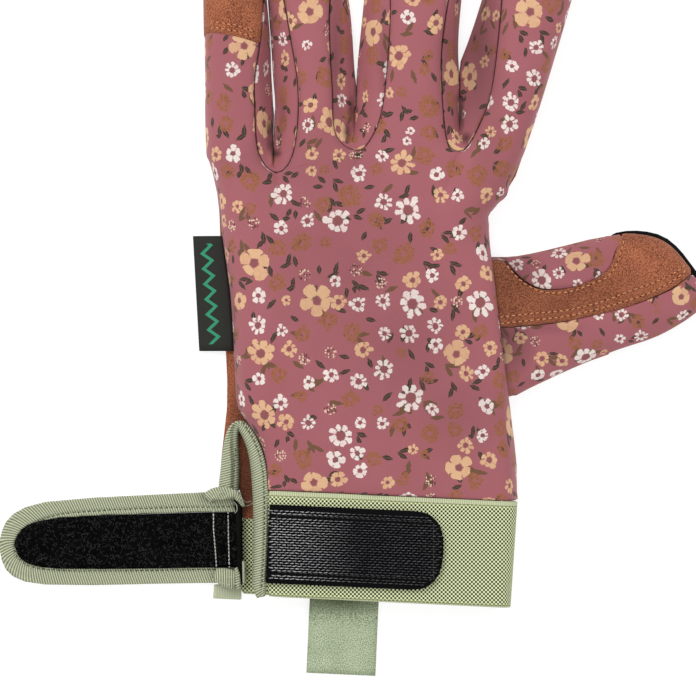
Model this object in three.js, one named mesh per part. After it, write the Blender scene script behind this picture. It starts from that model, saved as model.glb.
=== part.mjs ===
// A left-hand gardening glove lying palm down: printed knit back, suede palm, open cuff strap.
// Millimetres. +X runs across the back of the hand to the thumb, +Y to the fingertips, +Z up.
// The origin is the middle of the palm, on the surface that the glove lies on.
import * as THREE from 'three';

// Hand
const HAND_WIDTH = 90;
const PALM_LENGTH = 107;
const HAND_HEIGHT = 13.5;
const KNUCKLE_FADE = 20;

// Fingers: length is measured from the knuckle line, width across the flat finger
const LITTLE_LENGTH = 63;
const LITTLE_WIDTH = 20.6;
const RING_LENGTH = 75;
const RING_WIDTH = 25.4;
const MIDDLE_LENGTH = 82.5;
const MIDDLE_WIDTH = 31;
const INDEX_LENGTH = 77;
const INDEX_WIDTH = 28.4;
const FINGER_HEIGHT = 12.5;
const SEAM_HEIGHT = 10.2;
const FINGERTIP_CAP_LENGTH = 25;
const CAP_ARCH = 1.6;

// Thumb
const THUMB_LENGTH = 66;
const THUMB_WIDTH = 44;
const THUMB_HEIGHT = 9;
const THUMB_TUCK = 2;
const GUARD_LENGTH = 33;
const GUARD_RIM = 1.45;

// Cloth
const PALM_WALL = 1.3;
const BACK_WALL = 1.1;
const SIDE_WALL = 1;
const CAP_WALL = 1.2;
const CUFF_WALL = 1.2;
const SEAM_GAP = 0.3;
const EDGE_GAP = 0.6;
const THUMB_SHOULDER = 0.3;

// Cuff, vent and its bindings
const CUFF_LENGTH = 33.2;
const CUFF_HEIGHT = 9.6;
const CUFF_TAPER = 2.2;
const CUFF_SLANT = 3.6;
const UNDERCUFF_DROP = 9.2;
const TAPE_THICKNESS = 2;
const VENT_TAPE_WIDTH = 4.9;
const TAPE_PROUD = 0.9;
const TAPE_CROWN = 0.4;

// Closing strap
const STRAP_LENGTH = 76.2;
const STRAP_WIDTH = 25.6;
const STRAP_DROP = 16.75;
const STRAP_TAPE_WIDTH = 5;
const STRAP_TAPE_HEIGHT = 2.4;
const STRAP_WALL = 1.3;
const LOOP_TAPE_THICKNESS = 1.5;
const TAIL_LENGTH = 4.4;
const TAIL_WIDTH = 8.6;

// Hook tape on the cuff, tab below the cuff, tab in the side seam
const HOOK_LENGTH = 54.5;
const HOOK_WIDTH = 24.6;
const HOOK_END = 9.8;
const HOOK_THICKNESS = 1.4;
const HOOK_DROP = 4.3;
const TAB_WIDTH = 21.7;
const TAB_LENGTH = 29.8;
const TAB_THICKNESS = 1.2;
const TAB_SEAM = 6;
const TAB_LEAN = 1.35;
const TAB_SLANT = 1;
const LABEL_LENGTH = 36;
const LABEL_THICKNESS = 0.9;

const GROUND = PALM_WALL + SEAM_GAP;
const CUFF_LINE = -0.41 * PALM_LENGTH;
const CUFF_LEFT = -0.336 * HAND_WIDTH;
const CUFF_RIGHT = 0.534 * HAND_WIDTH;
const UNDERCUFF_LEFT = -0.431 * HAND_WIDTH;
const TAB_CENTRE = -0.069 * HAND_WIDTH;
const LABEL_TOP = 0.334 * PALM_LENGTH;
const LABEL_TOP_OUT = -0.6 * HAND_WIDTH;
const LABEL_LOW_OUT = -0.578 * HAND_WIDTH;

// The cuff's top edge drops a little from the vent to the right side
function cuffTop(x) {
  return CUFF_LINE - CUFF_SLANT * (x - CUFF_LEFT) / (CUFF_RIGHT - CUFF_LEFT);
}

// Materials
function cloth(colour, roughness) {
  return new THREE.MeshStandardMaterial({ color: colour, roughness, metalness: 0 });
}

const printedKnit = cloth(0xac6270, 0.85);
const brownSuede = cloth(0xaa6144, 0.95);
const blackGuard = cloth(0x1c1c1e, 0.7);
const greenMesh = cloth(0x98a77b, 0.85);
const greenTape = cloth(0xb0be94, 0.8);
const greenBrushed = cloth(0xa5b98c, 0.95);
const blackPile = cloth(0x161618, 0.95);
const blackHook = cloth(0x2a2a2c, 0.5);
const blackWoven = cloth(0x1e1e20, 0.8);

// Small helpers
function mix(a, b, share) {
  return a + (b - a) * share;
}

function mixPoint(a, b, share) {
  return new THREE.Vector3().lerpVectors(a, b, share);
}

function clamp(value) {
  return Math.min(Math.max(value, 0), 1);
}

function soften(value) {
  const share = clamp(value);
  return share * share * (3 - 2 * share);
}

function radians(degrees) {
  return degrees * Math.PI / 180;
}

// A quarter of a rounded corner: how far in from the edge, and how far up, both 0 to 1
function roundEdge(angle, fullness) {
  return {
    reach: 1 - Math.cos(radians(angle)) ** (2 / fullness),
    rise: Math.sin(radians(angle)) ** (2 / fullness),
  };
}

// Height, 0 to 1, of a rounded edge at a share of the way in from it
function roundRise(share) {
  return Math.sqrt(1 - (1 - clamp(share)) ** 2);
}

// Reads a column of a table whose rows run along the column named place, smoothly between rows
function readTable(table, place, column, at) {
  const rows = table[0][place] < table[table.length - 1][place] ? table : [...table].reverse();
  const last = rows.length - 1;
  const target = Math.min(Math.max(at, rows[0][place]), rows[last][place]);
  let i = 0;
  while (i < last - 1 && target > rows[i + 1][place]) i += 1;
  const slopeAt = (k) => {
    const before = rows[Math.max(k - 1, 0)];
    const after = rows[Math.min(k + 1, last)];
    return (after[column] - before[column]) / (after[place] - before[place]);
  };
  const span = rows[i + 1][place] - rows[i][place];
  const t = (target - rows[i][place]) / span;
  const start = rows[i][column];
  const end = rows[i + 1][column];
  const bend = t * (1 - t) * span;
  return mix(start, end, soften(t)) + bend * ((1 - t) * slopeAt(i) - t * slopeAt(i + 1));
}

// A smooth curve through points, read by its share of the length
function smoothLine(points) {
  const curve = new THREE.CatmullRomCurve3(points, false, 'centripetal');
  curve.arcLengthDivisions = 400;
  return (share) => curve.getPointAt(clamp(share));
}

// A sheet of cloth from patches of points. Each patch is rows of points, and neighbouring patches
// share their edge points. The skin is welded and gets its thickness on the inner side,
// which stays above the floor height where one is given.
function clothSheet(patches, wall, floor = 0) {
  const outer = [];
  const found = new Map();
  const weld = (point) => {
    const key = [point.x, point.y, point.z].map((value) => Math.round(value * 500)).join(' ');
    if (!found.has(key)) {
      found.set(key, outer.length);
      outer.push(point.clone());
    }
    return found.get(key);
  };
  const faces = [];
  for (const rows of patches) {
    const ids = rows.map((row) => row.map(weld));
    for (let i = 0; i < ids.length - 1; i += 1) {
      for (let j = 0; j < ids[i].length - 1; j += 1) {
        faces.push([ids[i][j], ids[i][j + 1], ids[i + 1][j + 1]]);
        faces.push([ids[i][j], ids[i + 1][j + 1], ids[i + 1][j]]);
      }
    }
  }
  const kept = faces.filter(([a, b, c]) => a !== b && b !== c && c !== a);
  const normals = outer.map(() => new THREE.Vector3());
  for (const [a, b, c] of kept) {
    const one = outer[b].clone().sub(outer[a]);
    const two = outer[c].clone().sub(outer[a]);
    const normal = one.cross(two);
    for (const id of [a, b, c]) normals[id].add(normal);
  }
  const count = outer.length;
  const inner = outer.map((point, id) => point.clone().addScaledVector(normals[id].normalize(), -wall));
  for (const point of inner) point.z = Math.max(point.z, floor);
  const edges = new Set(kept.flatMap(([a, b, c]) => [`${a} ${b}`, `${b} ${c}`, `${c} ${a}`]));
  const solid = kept.flatMap(([a, b, c]) => [[a, b, c], [c + count, b + count, a + count]]);
  for (const edge of edges) {
    const [a, b] = edge.split(' ').map(Number);
    if (!edges.has(`${b} ${a}`)) solid.push([b, a, a + count], [b, a + count, b + count]);
  }
  const geometry = new THREE.BufferGeometry();
  const places = [...outer, ...inner].flatMap((point) => point.toArray());
  geometry.setAttribute('position', new THREE.Float32BufferAttribute(places, 3));
  geometry.setIndex(solid.flat());
  geometry.computeVertexNormals();
  return geometry;
}

// A flat plate: an outline in the plane of the surface, lying from low to high
function plate(outline, low, high) {
  const shape = new THREE.Shape(outline.map((point) => new THREE.Vector2(point.x, point.y)));
  const geometry = new THREE.ExtrudeGeometry(shape, { depth: high - low, bevelEnabled: false });
  geometry.translate(0, 0, low);
  return geometry;
}

const glove = new THREE.Group();

function addPiece(name, geometry, material) {
  const mesh = new THREE.Mesh(geometry, material);
  mesh.name = name;
  glove.add(mesh);
}

// The hand's outline. across is a share of HAND_WIDTH, up a share of PALM_LENGTH,
// edge is how far the back panel's edge is lifted towards the cuff's height.
const LEFT_SIDE = [
  { up: 0.56, across: -0.545, edge: 0 },
  { up: 0.52, across: -0.531, edge: 0 },
  { up: 0.47, across: -0.515, edge: 0 },
  { up: 0.365, across: -0.502, edge: 0 },
  { up: 0.254, across: -0.484, edge: 0 },
  { up: 0.156, across: -0.468, edge: 0 },
  { up: -0.006, across: -0.457, edge: 0 },
  { up: -0.117, across: -0.451, edge: 0 },
  { up: -0.187, across: -0.44, edge: 0.1 },
  { up: -0.212, across: -0.406, edge: 0.25 },
  { up: -0.239, across: -0.386, edge: 0.42 },
  { up: -0.272, across: -0.36, edge: 0.62 },
  { up: -0.312, across: -0.344, edge: 0.84 },
  { up: -0.353, across: -0.337, edge: 0.95 },
  { up: -0.41, across: -0.336, edge: 1 },
];

const RIGHT_SIDE = [
  { up: 0.581, across: 0.557 },
  { up: 0.511, across: 0.529 },
  { up: 0.448, across: 0.486 },
  { up: 0.421, across: 0.457 },
  { up: 0.401, across: 0.431 },
  { up: 0.318, across: 0.435 },
  { up: 0.213, across: 0.447 },
  { up: 0.035, across: 0.471 },
  { up: -0.126, across: 0.497 },
  { up: -0.175, across: 0.508 },
  { up: -0.35, across: 0.531 },
  { up: -0.41, across: 0.529 },
];

// The suede's left margin, which shows outside the back panel
const PALM_MARGIN = [
  { up: 0.56, across: -0.545 },
  { up: 0.47, across: -0.518 },
  { up: 0.38, across: -0.507 },
  { up: 0.175, across: -0.5 },
  { up: -0.006, across: -0.485 },
  { up: -0.158, across: -0.481 },
  { up: -0.265, across: -0.495 },
  { up: -0.373, across: -0.507 },
];

// The crown of the back, as a share of HAND_HEIGHT, with the long soft hollow above the cuff
const CROWN = [
  { up: 0.58, height: 0.97 },
  { up: 0.35, height: 1 },
  { up: 0.1, height: 0.99 },
  { up: -0.15, height: 0.9 },
  { up: -0.3, height: 0.78 },
  { up: -0.41, height: 0.711 },
];

// Folds and hollows in the back: ridges and dents along short lines. Places are shares as above,
// rise and spread are shares of HAND_HEIGHT.
const FOLDS = [
  { across: -0.49, up: 0.54, toAcross: -0.34, toUp: 0.49, rise: -0.05, spread: 0.3 },
  { across: -0.47, up: 0.47, toAcross: -0.3, toUp: 0.45, rise: 0.03, spread: 0.35 },
  { across: -0.07, up: 0.54, toAcross: 0.03, toUp: 0.43, rise: -0.05, spread: 0.35 },
  { across: 0.49, up: 0.56, toAcross: 0.39, toUp: 0.42, rise: -0.06, spread: 0.35 },
  { across: 0.36, up: 0.53, toAcross: 0.3, toUp: 0.36, rise: 0.04, spread: 0.4 },
  { across: -0.05, up: 0.02, toAcross: 0.3, toUp: -0.18, rise: -0.045, spread: 0.6 },
  { across: 0.1, up: 0.12, toAcross: 0.42, toUp: -0.08, rise: 0.03, spread: 0.5 },
  { across: -0.35, up: 0.2, toAcross: -0.2, toUp: -0.15, rise: -0.03, spread: 0.55 },
  { across: -0.22, up: -0.4, toAcross: -0.2, toUp: -0.31, rise: 0.035, spread: 0.25 },
  { across: 0.02, up: -0.4, toAcross: 0.01, toUp: -0.29, rise: 0.04, spread: 0.28 },
  { across: 0.24, up: -0.4, toAcross: 0.27, toUp: -0.3, rise: 0.035, spread: 0.25 },
];

function handPoint(across, up) {
  return new THREE.Vector3(across * HAND_WIDTH, up * PALM_LENGTH, 0);
}

function foldRise(x, y) {
  const place = new THREE.Vector3(x, y, 0);
  return FOLDS.reduce((sum, fold) => {
    const line = new THREE.Line3(handPoint(fold.across, fold.up), handPoint(fold.toAcross, fold.toUp));
    const nearest = line.closestPointToPoint(place, true, new THREE.Vector3());
    const away = nearest.distanceTo(place) / (fold.spread * HAND_HEIGHT);
    return sum + fold.rise * HAND_HEIGHT * Math.exp(-away * away);
  }, 0);
}

// The bottoms of the three U-shaped finger seams on the back, and the ends of the finger gaps
const CROTCHES = [
  { seam: handPoint(-0.311, 0.515), gap: handPoint(-0.318, 0.567) },
  { seam: handPoint(-0.024, 0.58), gap: handPoint(-0.052, 0.648) },
  { seam: handPoint(0.328, 0.578), gap: handPoint(0.337, 0.653) },
];

// Fingers. Seams bound the printed back of a finger, gaps bound its suede underside.
// An edge's columns are shares of the finger's length and of its width, from knuckle to tip.
const FINGERTIP = { along: [0.93, 0.975, 1], across: [0.43, 0.31, 0.15] };
const FINGERS = [
  {
    name: 'little',
    root: handPoint(-0.429, 0.54),
    lean: -2.7,
    length: LITTLE_LENGTH,
    width: LITTLE_WIDTH,
    leftSeam: {
      along: [0.04, 0.14, 0.28, 0.4, 0.6, 0.82],
      across: [-0.52, -0.53, -0.52, -0.5, -0.48, -0.46],
    },
    rightSeam: {
      along: [-0.036, -0.002, 0.047, 0.109, 0.186, 0.308, 0.4, 0.53, 0.66, 0.84],
      across: [0.425, 0.329, 0.258, 0.229, 0.225, 0.235, 0.23, 0.31, 0.385, 0.43],
    },
    rightGap: {
      along: [0.08, 0.17, 0.3, 0.43, 0.6, 0.74, 0.84],
      across: [0.47, 0.46, 0.51, 0.5, 0.51, 0.49, 0.47],
    },
  },
  {
    name: 'ring',
    root: handPoint(-0.17, 0.561),
    lean: -3.3,
    length: RING_LENGTH,
    width: RING_WIDTH,
    leftSeam: {
      along: [-0.055, -0.032, -0.002, 0.038, 0.101, 0.195, 0.33, 0.5, 0.66, 0.84],
      across: [-0.425, -0.351, -0.294, -0.253, -0.21, -0.174, -0.16, -0.22, -0.27, -0.38],
    },
    leftGap: {
      along: [0.04, 0.13, 0.22, 0.32, 0.5, 0.68, 0.84],
      across: [-0.5, -0.5, -0.45, -0.47, -0.47, -0.48, -0.47],
    },
    rightSeam: {
      along: [0.026, 0.038, 0.067, 0.1, 0.156, 0.25, 0.5, 0.68, 0.84],
      across: [0.417, 0.356, 0.278, 0.237, 0.223, 0.24, 0.24, 0.28, 0.38],
    },
    rightGap: {
      along: [0.12, 0.2, 0.27, 0.4, 0.56, 0.7, 0.84],
      across: [0.46, 0.5, 0.53, 0.525, 0.53, 0.5, 0.47],
    },
  },
  {
    name: 'middle',
    root: handPoint(0.142, 0.584),
    lean: 3.5,
    length: MIDDLE_LENGTH,
    width: MIDDLE_WIDTH,
    leftSeam: {
      along: [-0.012, 0.002, 0.043, 0.088, 0.139, 0.22, 0.36, 0.55, 0.72, 0.85],
      across: [-0.441, -0.399, -0.338, -0.287, -0.257, -0.24, -0.23, -0.235, -0.3, -0.39],
    },
    leftGap: {
      along: [0.08, 0.16, 0.23, 0.32, 0.48, 0.6, 0.74, 0.85],
      across: [-0.55, -0.545, -0.535, -0.54, -0.52, -0.51, -0.49, -0.46],
    },
    rightSeam: {
      along: [0.005, 0.021, 0.059, 0.11, 0.211, 0.38, 0.5, 0.62, 0.74, 0.85],
      across: [0.485, 0.425, 0.384, 0.361, 0.324, 0.285, 0.305, 0.34, 0.37, 0.4],
    },
    rightGap: {
      along: [0.1, 0.19, 0.28, 0.36, 0.45, 0.57, 0.72, 0.85],
      across: [0.54, 0.51, 0.49, 0.465, 0.45, 0.46, 0.47, 0.45],
    },
  },
  {
    name: 'index',
    root: handPoint(0.406, 0.584),
    lean: 17,
    length: INDEX_LENGTH,
    width: INDEX_WIDTH,
    leftSeam: {
      along: [-0.031, -0.01, 0.035, 0.103, 0.162, 0.24, 0.4, 0.55, 0.7, 0.84],
      across: [-0.202, -0.155, -0.124, -0.094, -0.076, -0.08, -0.15, -0.23, -0.32, -0.41],
    },
    leftGap: {
      along: [0.08, 0.16, 0.25, 0.33, 0.42, 0.57, 0.7, 0.84],
      across: [-0.3, -0.38, -0.46, -0.51, -0.49, -0.48, -0.48, -0.46],
    },
    rightSeam: {
      along: [0.06, 0.16, 0.3, 0.47, 0.65, 0.84],
      across: [0.46, 0.47, 0.475, 0.475, 0.47, 0.45],
    },
  },
];

// Where a finger has no neighbour, its seam and its gap are the same edge
FINGERS[0].leftGap = FINGERS[0].leftSeam;
FINGERS[3].rightGap = FINGERS[3].rightSeam;

function fingerPoint(finger, along, across) {
  const lean = radians(finger.lean);
  const forward = new THREE.Vector3(Math.sin(lean), Math.cos(lean), 0);
  const sideways = new THREE.Vector3(Math.cos(lean), -Math.sin(lean), 0);
  const point = finger.root.clone().addScaledVector(forward, along * finger.length);
  return point.addScaledVector(sideways, across * finger.width);
}

// One edge of a finger, from its start on the hand to the tip
function fingerRail(finger, start, edge, side) {
  const sides = edge.along.map((along, i) => fingerPoint(finger, along, edge.across[i]));
  const tip = FINGERTIP.along.map((along, i) => fingerPoint(finger, along, FINGERTIP.across[i] * side));
  return smoothLine([start, ...sides, ...tip]);
}

const INDEX_START = handPoint(RIGHT_SIDE[0].across, RIGHT_SIDE[0].up);
const LITTLE_START = handPoint(LEFT_SIDE[0].across, LEFT_SIDE[0].up);
FINGERS.forEach((finger, i) => {
  const left = CROTCHES[i - 1];
  const right = CROTCHES[i];
  finger.leftSeamRail = fingerRail(finger, left ? left.seam : LITTLE_START, finger.leftSeam, -1);
  finger.rightSeamRail = fingerRail(finger, right ? right.seam : INDEX_START, finger.rightSeam, 1);
  finger.leftGapRail = fingerRail(finger, left ? left.gap : LITTLE_START, finger.leftGap, -1);
  finger.rightGapRail = fingerRail(finger, right ? right.gap : INDEX_START, finger.rightGap, 1);
  finger.leftOpen = i === 0;
  finger.rightOpen = i === FINGERS.length - 1;
});

// Stations along a finger, as shares of its edges from the crotch to the tip
const CROTCH_STATIONS = [0, 0.018, 0.045, 0.08, 0.125, 0.18, 0.25, 0.33, 0.42, 0.51, 0.6];
const TIP_STATIONS = [0.78, 0.86, 0.91, 0.95, 0.98, 1];
const SIDE_STATIONS = [...CROTCH_STATIONS, 0.7, 0.8, 0.88];
const SEAM_ANGLES = [0, 28, 58];
const OPEN_ANGLES = [0, 16, 34, 58];
const TIP_SHARE = 0.16;

function capStation(finger) {
  return 1 - FINGERTIP_CAP_LENGTH / finger.length;
}

// The finger's height along it: a long gentle fall, then the rounded tip
function fingerCrown(station) {
  const fall = mix(1, 0.86, soften(station / 0.9));
  return GROUND + (FINGER_HEIGHT - GROUND) * fall * roundRise((1 - station) / TIP_SHARE);
}

function seamHeight(station) {
  const start = mix(SEAM_HEIGHT, SEAM_HEIGHT - 1.2, soften(station / 0.7));
  return GROUND + (start - GROUND) * soften((0.97 - station) / 0.27);
}

function crossSection(finger, station) {
  const left = finger.leftSeamRail(station);
  const right = finger.rightSeamRail(station);
  const middle = mixPoint(left, right, 0.5);
  const crown = fingerCrown(station);
  const half = (edge, open) => (open ? OPEN_ANGLES : SEAM_ANGLES).map((angle) => {
    const turn = roundEdge(angle, open ? 2.5 : 2);
    const point = mixPoint(edge, middle, turn.reach);
    point.z = mix(open ? GROUND : Math.min(seamHeight(station), crown), crown, turn.rise);
    return point;
  });
  middle.z = crown;
  return [...half(left, finger.leftOpen), middle, ...half(right, finger.rightOpen).reverse()];
}

// Cross sections along a finger. The seam of the suede cap arches towards the tip.
function fingerStrip(finger, stations, seam) {
  return stations.map((station) => {
    const section = crossSection(finger, station);
    if (station !== seam) return section;
    const span = section[0].distanceTo(section[section.length - 1]);
    return section.map((point) => {
      const across = point.distanceTo(section[0]) / span;
      const arch = 4 * across * (1 - across) * CAP_ARCH;
      return point.clone().add(new THREE.Vector3(0, Math.max(arch, 0), 0));
    });
  });
}

// The top of the thumb where it leaves the hand, as a height over the hand's right edge
const THUMB_MIDDLE = 0.065 * PALM_LENGTH;
const THUMB_ROOT = 0.444 * HAND_WIDTH;

function thumbHump(y) {
  const share = clamp(0.5 - (y - THUMB_MIDDLE) / (THUMB_WIDTH + 2 * BACK_WALL));
  return roundRise(Math.min(share, 1 - share) / THUMB_SHOULDER);
}

// Back panel: the back of the hand and the backs of the fingers down to the suede caps
const BACK_ROWS = [
  0.56, 0.51, 0.46, 0.421, 0.385, 0.32, 0.275, 0.235, 0.19, 0.13, 0.04,
  -0.03, -0.09, -0.13, -0.175, -0.205, -0.24, -0.28, -0.33, -0.38, -0.41,
];
const SLANT_FADE = 30;
const KNUCKLES = FINGERS.flatMap((finger, i) => crossSection(finger, 0).slice(i === 0 ? 0 : 1));

function backRow(k) {
  const first = KNUCKLES[0];
  const last = KNUCKLES[KNUCKLES.length - 1];
  const down = k / (BACK_ROWS.length - 1);
  const up = k === BACK_ROWS.length - 1 ? BACK_ROWS[k] + SEAM_GAP / PALM_LENGTH : BACK_ROWS[k];
  const slant = soften(1 - (up * PALM_LENGTH - CUFF_LINE) / SLANT_FADE);
  const left = readTable(LEFT_SIDE, 'up', 'across', up) * HAND_WIDTH;
  const right = readTable(RIGHT_SIDE, 'up', 'across', up) * HAND_WIDTH;
  const crown = readTable(CROWN, 'up', 'height', up) * HAND_HEIGHT;
  const lift = readTable(LEFT_SIDE, 'up', 'edge', up);
  const fade = 1 - soften((BACK_ROWS[0] - up) * PALM_LENGTH / KNUCKLE_FADE);
  return KNUCKLES.map((knuckle, j) => {
    const top = (knuckle.x - first.x) / (last.x - first.x);
    const even = j / (KNUCKLES.length - 1);
    const share = mix(top, mix(top, even, 0.5), down);
    const x = mix(left, right, share);
    const rise = (knuckle.y - BACK_ROWS[0] * PALM_LENGTH) * fade + (cuffTop(x) - CUFF_LINE) * slant;
    const y = up * PALM_LENGTH + rise;
    const leftEdge = mix(GROUND, CUFF_HEIGHT, lift);
    const rightEdge = GROUND + (THUMB_HEIGHT - GROUND + SEAM_GAP + BACK_WALL) * thumbHump(y);
    const shoulder = mix(0.12, 0.07, down);
    const edge = mix(leftEdge, rightEdge, share > 0.5 ? 1 : 0);
    const round = roundRise(Math.min(share, 1 - share) / shoulder);
    const swell = Math.sin(Math.PI * share) ** 0.6;
    const body = mix(edge, mix(crown * 0.93, crown, swell), round);
    const z = Math.max(body + foldRise(x, y) * round, edge);
    return new THREE.Vector3(x, y, k === 0 ? knuckle.z : mix(z, knuckle.z, fade));
  });
}

const handRows = BACK_ROWS.map((row, k) => (k === 0 ? KNUCKLES : backRow(k))).reverse();
const fingerBacks = FINGERS.map((finger) => {
  const end = capStation(finger);
  return fingerStrip(finger, [...CROTCH_STATIONS.filter((station) => station < end - 0.03), end], end);
});
addPiece('back_panel', clothSheet([handRows, ...fingerBacks], BACK_WALL, GROUND), printedKnit);

// Suede caps over the backs of the fingertips
for (const finger of FINGERS) {
  const start = capStation(finger) + SEAM_GAP / finger.length;
  const stations = [start, ...TIP_STATIONS.filter((station) => station > start + 0.05)];
  const rows = fingerStrip(finger, stations, start);
  addPiece(`fingertip_cap_${finger.name}`, clothSheet([rows], CAP_WALL, GROUND), brownSuede);
}

// Fourchettes: printed strips that line the gap between two fingers, one U-shaped piece each.
// A strip's inner face ends this many walls short of the gap, so that its outer face ends there.
const FOOT_INSET = 0.9;
const FOURCHETTE_DROPS = [0, 20, 42, 66, 90];

function fourchette(one, two) {
  const stations = [];
  const addStation = (seam, gap, station) => {
    const top = seam(station);
    const edge = gap(station);
    const foot = mixPoint(edge, top, SIDE_WALL * FOOT_INSET / edge.distanceTo(top));
    top.z = seamHeight(station) - BACK_WALL - SEAM_GAP;
    foot.z = GROUND;
    stations.push({ top, foot });
  };
  for (const station of [...SIDE_STATIONS].reverse()) {
    addStation(one.rightSeamRail, one.rightGapRail, station);
  }
  for (const station of SIDE_STATIONS.slice(1)) {
    addStation(two.leftSeamRail, two.leftGapRail, station);
  }
  return FOURCHETTE_DROPS.map((angle) => stations.map(({ top, foot }) => {
    const point = mixPoint(top, foot, mix(Math.sin(radians(angle)), angle / 90, 0.45));
    point.z = mix(foot.z, top.z, mix(Math.cos(radians(angle)), 1 - angle / 90, 0.45));
    return point;
  }));
}

for (let i = 0; i < CROTCHES.length; i += 1) {
  const rows = fourchette(FINGERS[i], FINGERS[i + 1]).reverse();
  const name = `fourchette_${FINGERS[i].name}_${FINGERS[i + 1].name}`;
  addPiece(name, clothSheet([rows], SIDE_WALL, GROUND), printedKnit);
}

// Palm panel: one flat suede piece under the hand and the fingers
const underCuffTop = (x) => cuffTop(x) - UNDERCUFF_DROP;
const PALM_STEPS = [
  0.51, 0.46, 0.421, 0.405, 0.385, 0.32, 0.24, 0.14,
  0.03, -0.09, -0.17, -0.27, -0.34, -0.4,
];
const GAP_STATIONS = [
  0, 0.04, 0.09, 0.14, 0.2, 0.27, 0.35, 0.44,
  0.54, 0.64, 0.74, 0.84, 0.9, 0.94, 0.97, 1,
];
const CUFF_CORNER = 10;
const STRAP_ROOT = UNDERCUFF_LEFT;

function palmOutline() {
  const margin = [-0.36, -0.3, ...PALM_STEPS.slice(0, -3).reverse()];
  const outline = margin.map((up) => handPoint(readTable(PALM_MARGIN, 'up', 'across', up), up));
  for (const finger of FINGERS) {
    for (const station of GAP_STATIONS) outline.push(finger.leftGapRail(station));
    for (const station of [...GAP_STATIONS].reverse()) outline.push(finger.rightGapRail(station));
  }
  for (const up of PALM_STEPS) outline.push(handPoint(readTable(RIGHT_SIDE, 'up', 'across', up), up));
  const corner = CUFF_RIGHT - CUFF_CORNER;
  const wrap = CUFF_RIGHT - CUFF_HEIGHT / 2;
  const root = STRAP_ROOT + SEAM_GAP;
  outline.push(new THREE.Vector3(CUFF_RIGHT, cuffTop(CUFF_RIGHT) + EDGE_GAP, 0));
  outline.push(new THREE.Vector3(wrap, cuffTop(wrap) + EDGE_GAP, 0));
  outline.push(new THREE.Vector3(corner, underCuffTop(corner) + SEAM_GAP, 0));
  outline.push(new THREE.Vector3(root, underCuffTop(root) + SEAM_GAP, 0));
  outline.push(new THREE.Vector3(STRAP_ROOT + SEAM_GAP, strapTop(0) + SEAM_GAP, 0));
  return outline.filter((point, i) => i === 0 || point.distanceTo(outline[i - 1]) > 0.05);
}

// Closing strap: the outline of its top and bottom edges, from the root at the right to the round end.
// out is a share of STRAP_LENGTH, top and bottom are shares of STRAP_WIDTH from its centre line.
const STRAP_EDGES = [
  { out: 0, top: 0.63, bottom: -0.49 },
  { out: 0.15, top: 0.621, bottom: -0.492 },
  { out: 0.36, top: 0.592, bottom: -0.503 },
  { out: 0.61, top: 0.555, bottom: -0.52 },
  { out: 0.81, top: 0.503, bottom: -0.512 },
  { out: 0.893, top: 0.438, bottom: -0.475 },
  { out: 0.943, top: 0.353, bottom: -0.41 },
  { out: 0.971, top: 0.262, bottom: -0.33 },
  { out: 0.988, top: 0.15, bottom: -0.225 },
  { out: 1, top: 0.01, bottom: -0.05 },
];
const STRAP_CENTRE = CUFF_LINE - STRAP_DROP;

function strapTop(out) {
  return STRAP_CENTRE + readTable(STRAP_EDGES, 'out', 'top', out) * STRAP_WIDTH;
}

// The strap's outline, drawn in from its edge all round but for the root
function strapLine(inset) {
  const length = STRAP_LENGTH - inset;
  const width = STRAP_WIDTH - 2 * inset;
  const edge = (column) => STRAP_EDGES.map((row) => new THREE.Vector2(
    STRAP_ROOT - row.out * length,
    STRAP_CENTRE + row[column] * width,
  ));
  const upper = edge('top');
  const lower = edge('bottom');
  return [...upper, ...lower.reverse()];
}

addPiece('palm_panel', plate(palmOutline(), 0, PALM_WALL), brownSuede);
addPiece('strap_body', plate(strapLine(STRAP_TAPE_WIDTH + SEAM_GAP), 0, STRAP_WALL), greenTape);
const strapRing = [...strapLine(0), ...strapLine(STRAP_TAPE_WIDTH).reverse()];
addPiece('strap_binding', plate(strapRing, 0, STRAP_TAPE_HEIGHT), greenTape);
const pileLow = STRAP_WALL + SEAM_GAP;
const pileOutline = strapLine(STRAP_TAPE_WIDTH + SEAM_GAP);
addPiece('strap_loop_patch', plate(pileOutline, pileLow, pileLow + LOOP_TAPE_THICKNESS), blackPile);

// Thumb: top pieces over a flat underside. Stations run from the hand to the tip.
const THUMB_TOP_EDGE = {
  out: [-0.003, 0.101, 0.199, 0.33, 0.492, 0.61, 0.7, 0.78, 0.83, 0.884, 0.92, 0.961, 1.01, 1.03],
  across: [0.505, 0.51, 0.535, 0.581, 0.641, 0.67, 0.667, 0.642, 0.604, 0.528, 0.458, 0.376, 0.29, 0.235],
};
const THUMB_LOW_EDGE = {
  out: [0.082, 0.199, 0.379, 0.591, 0.786, 0.917, 0.961, 1.005, 1.028],
  across: [-0.503, -0.417, -0.292, -0.164, -0.064, 0.047, 0.095, 0.145, 0.18],
};
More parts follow.
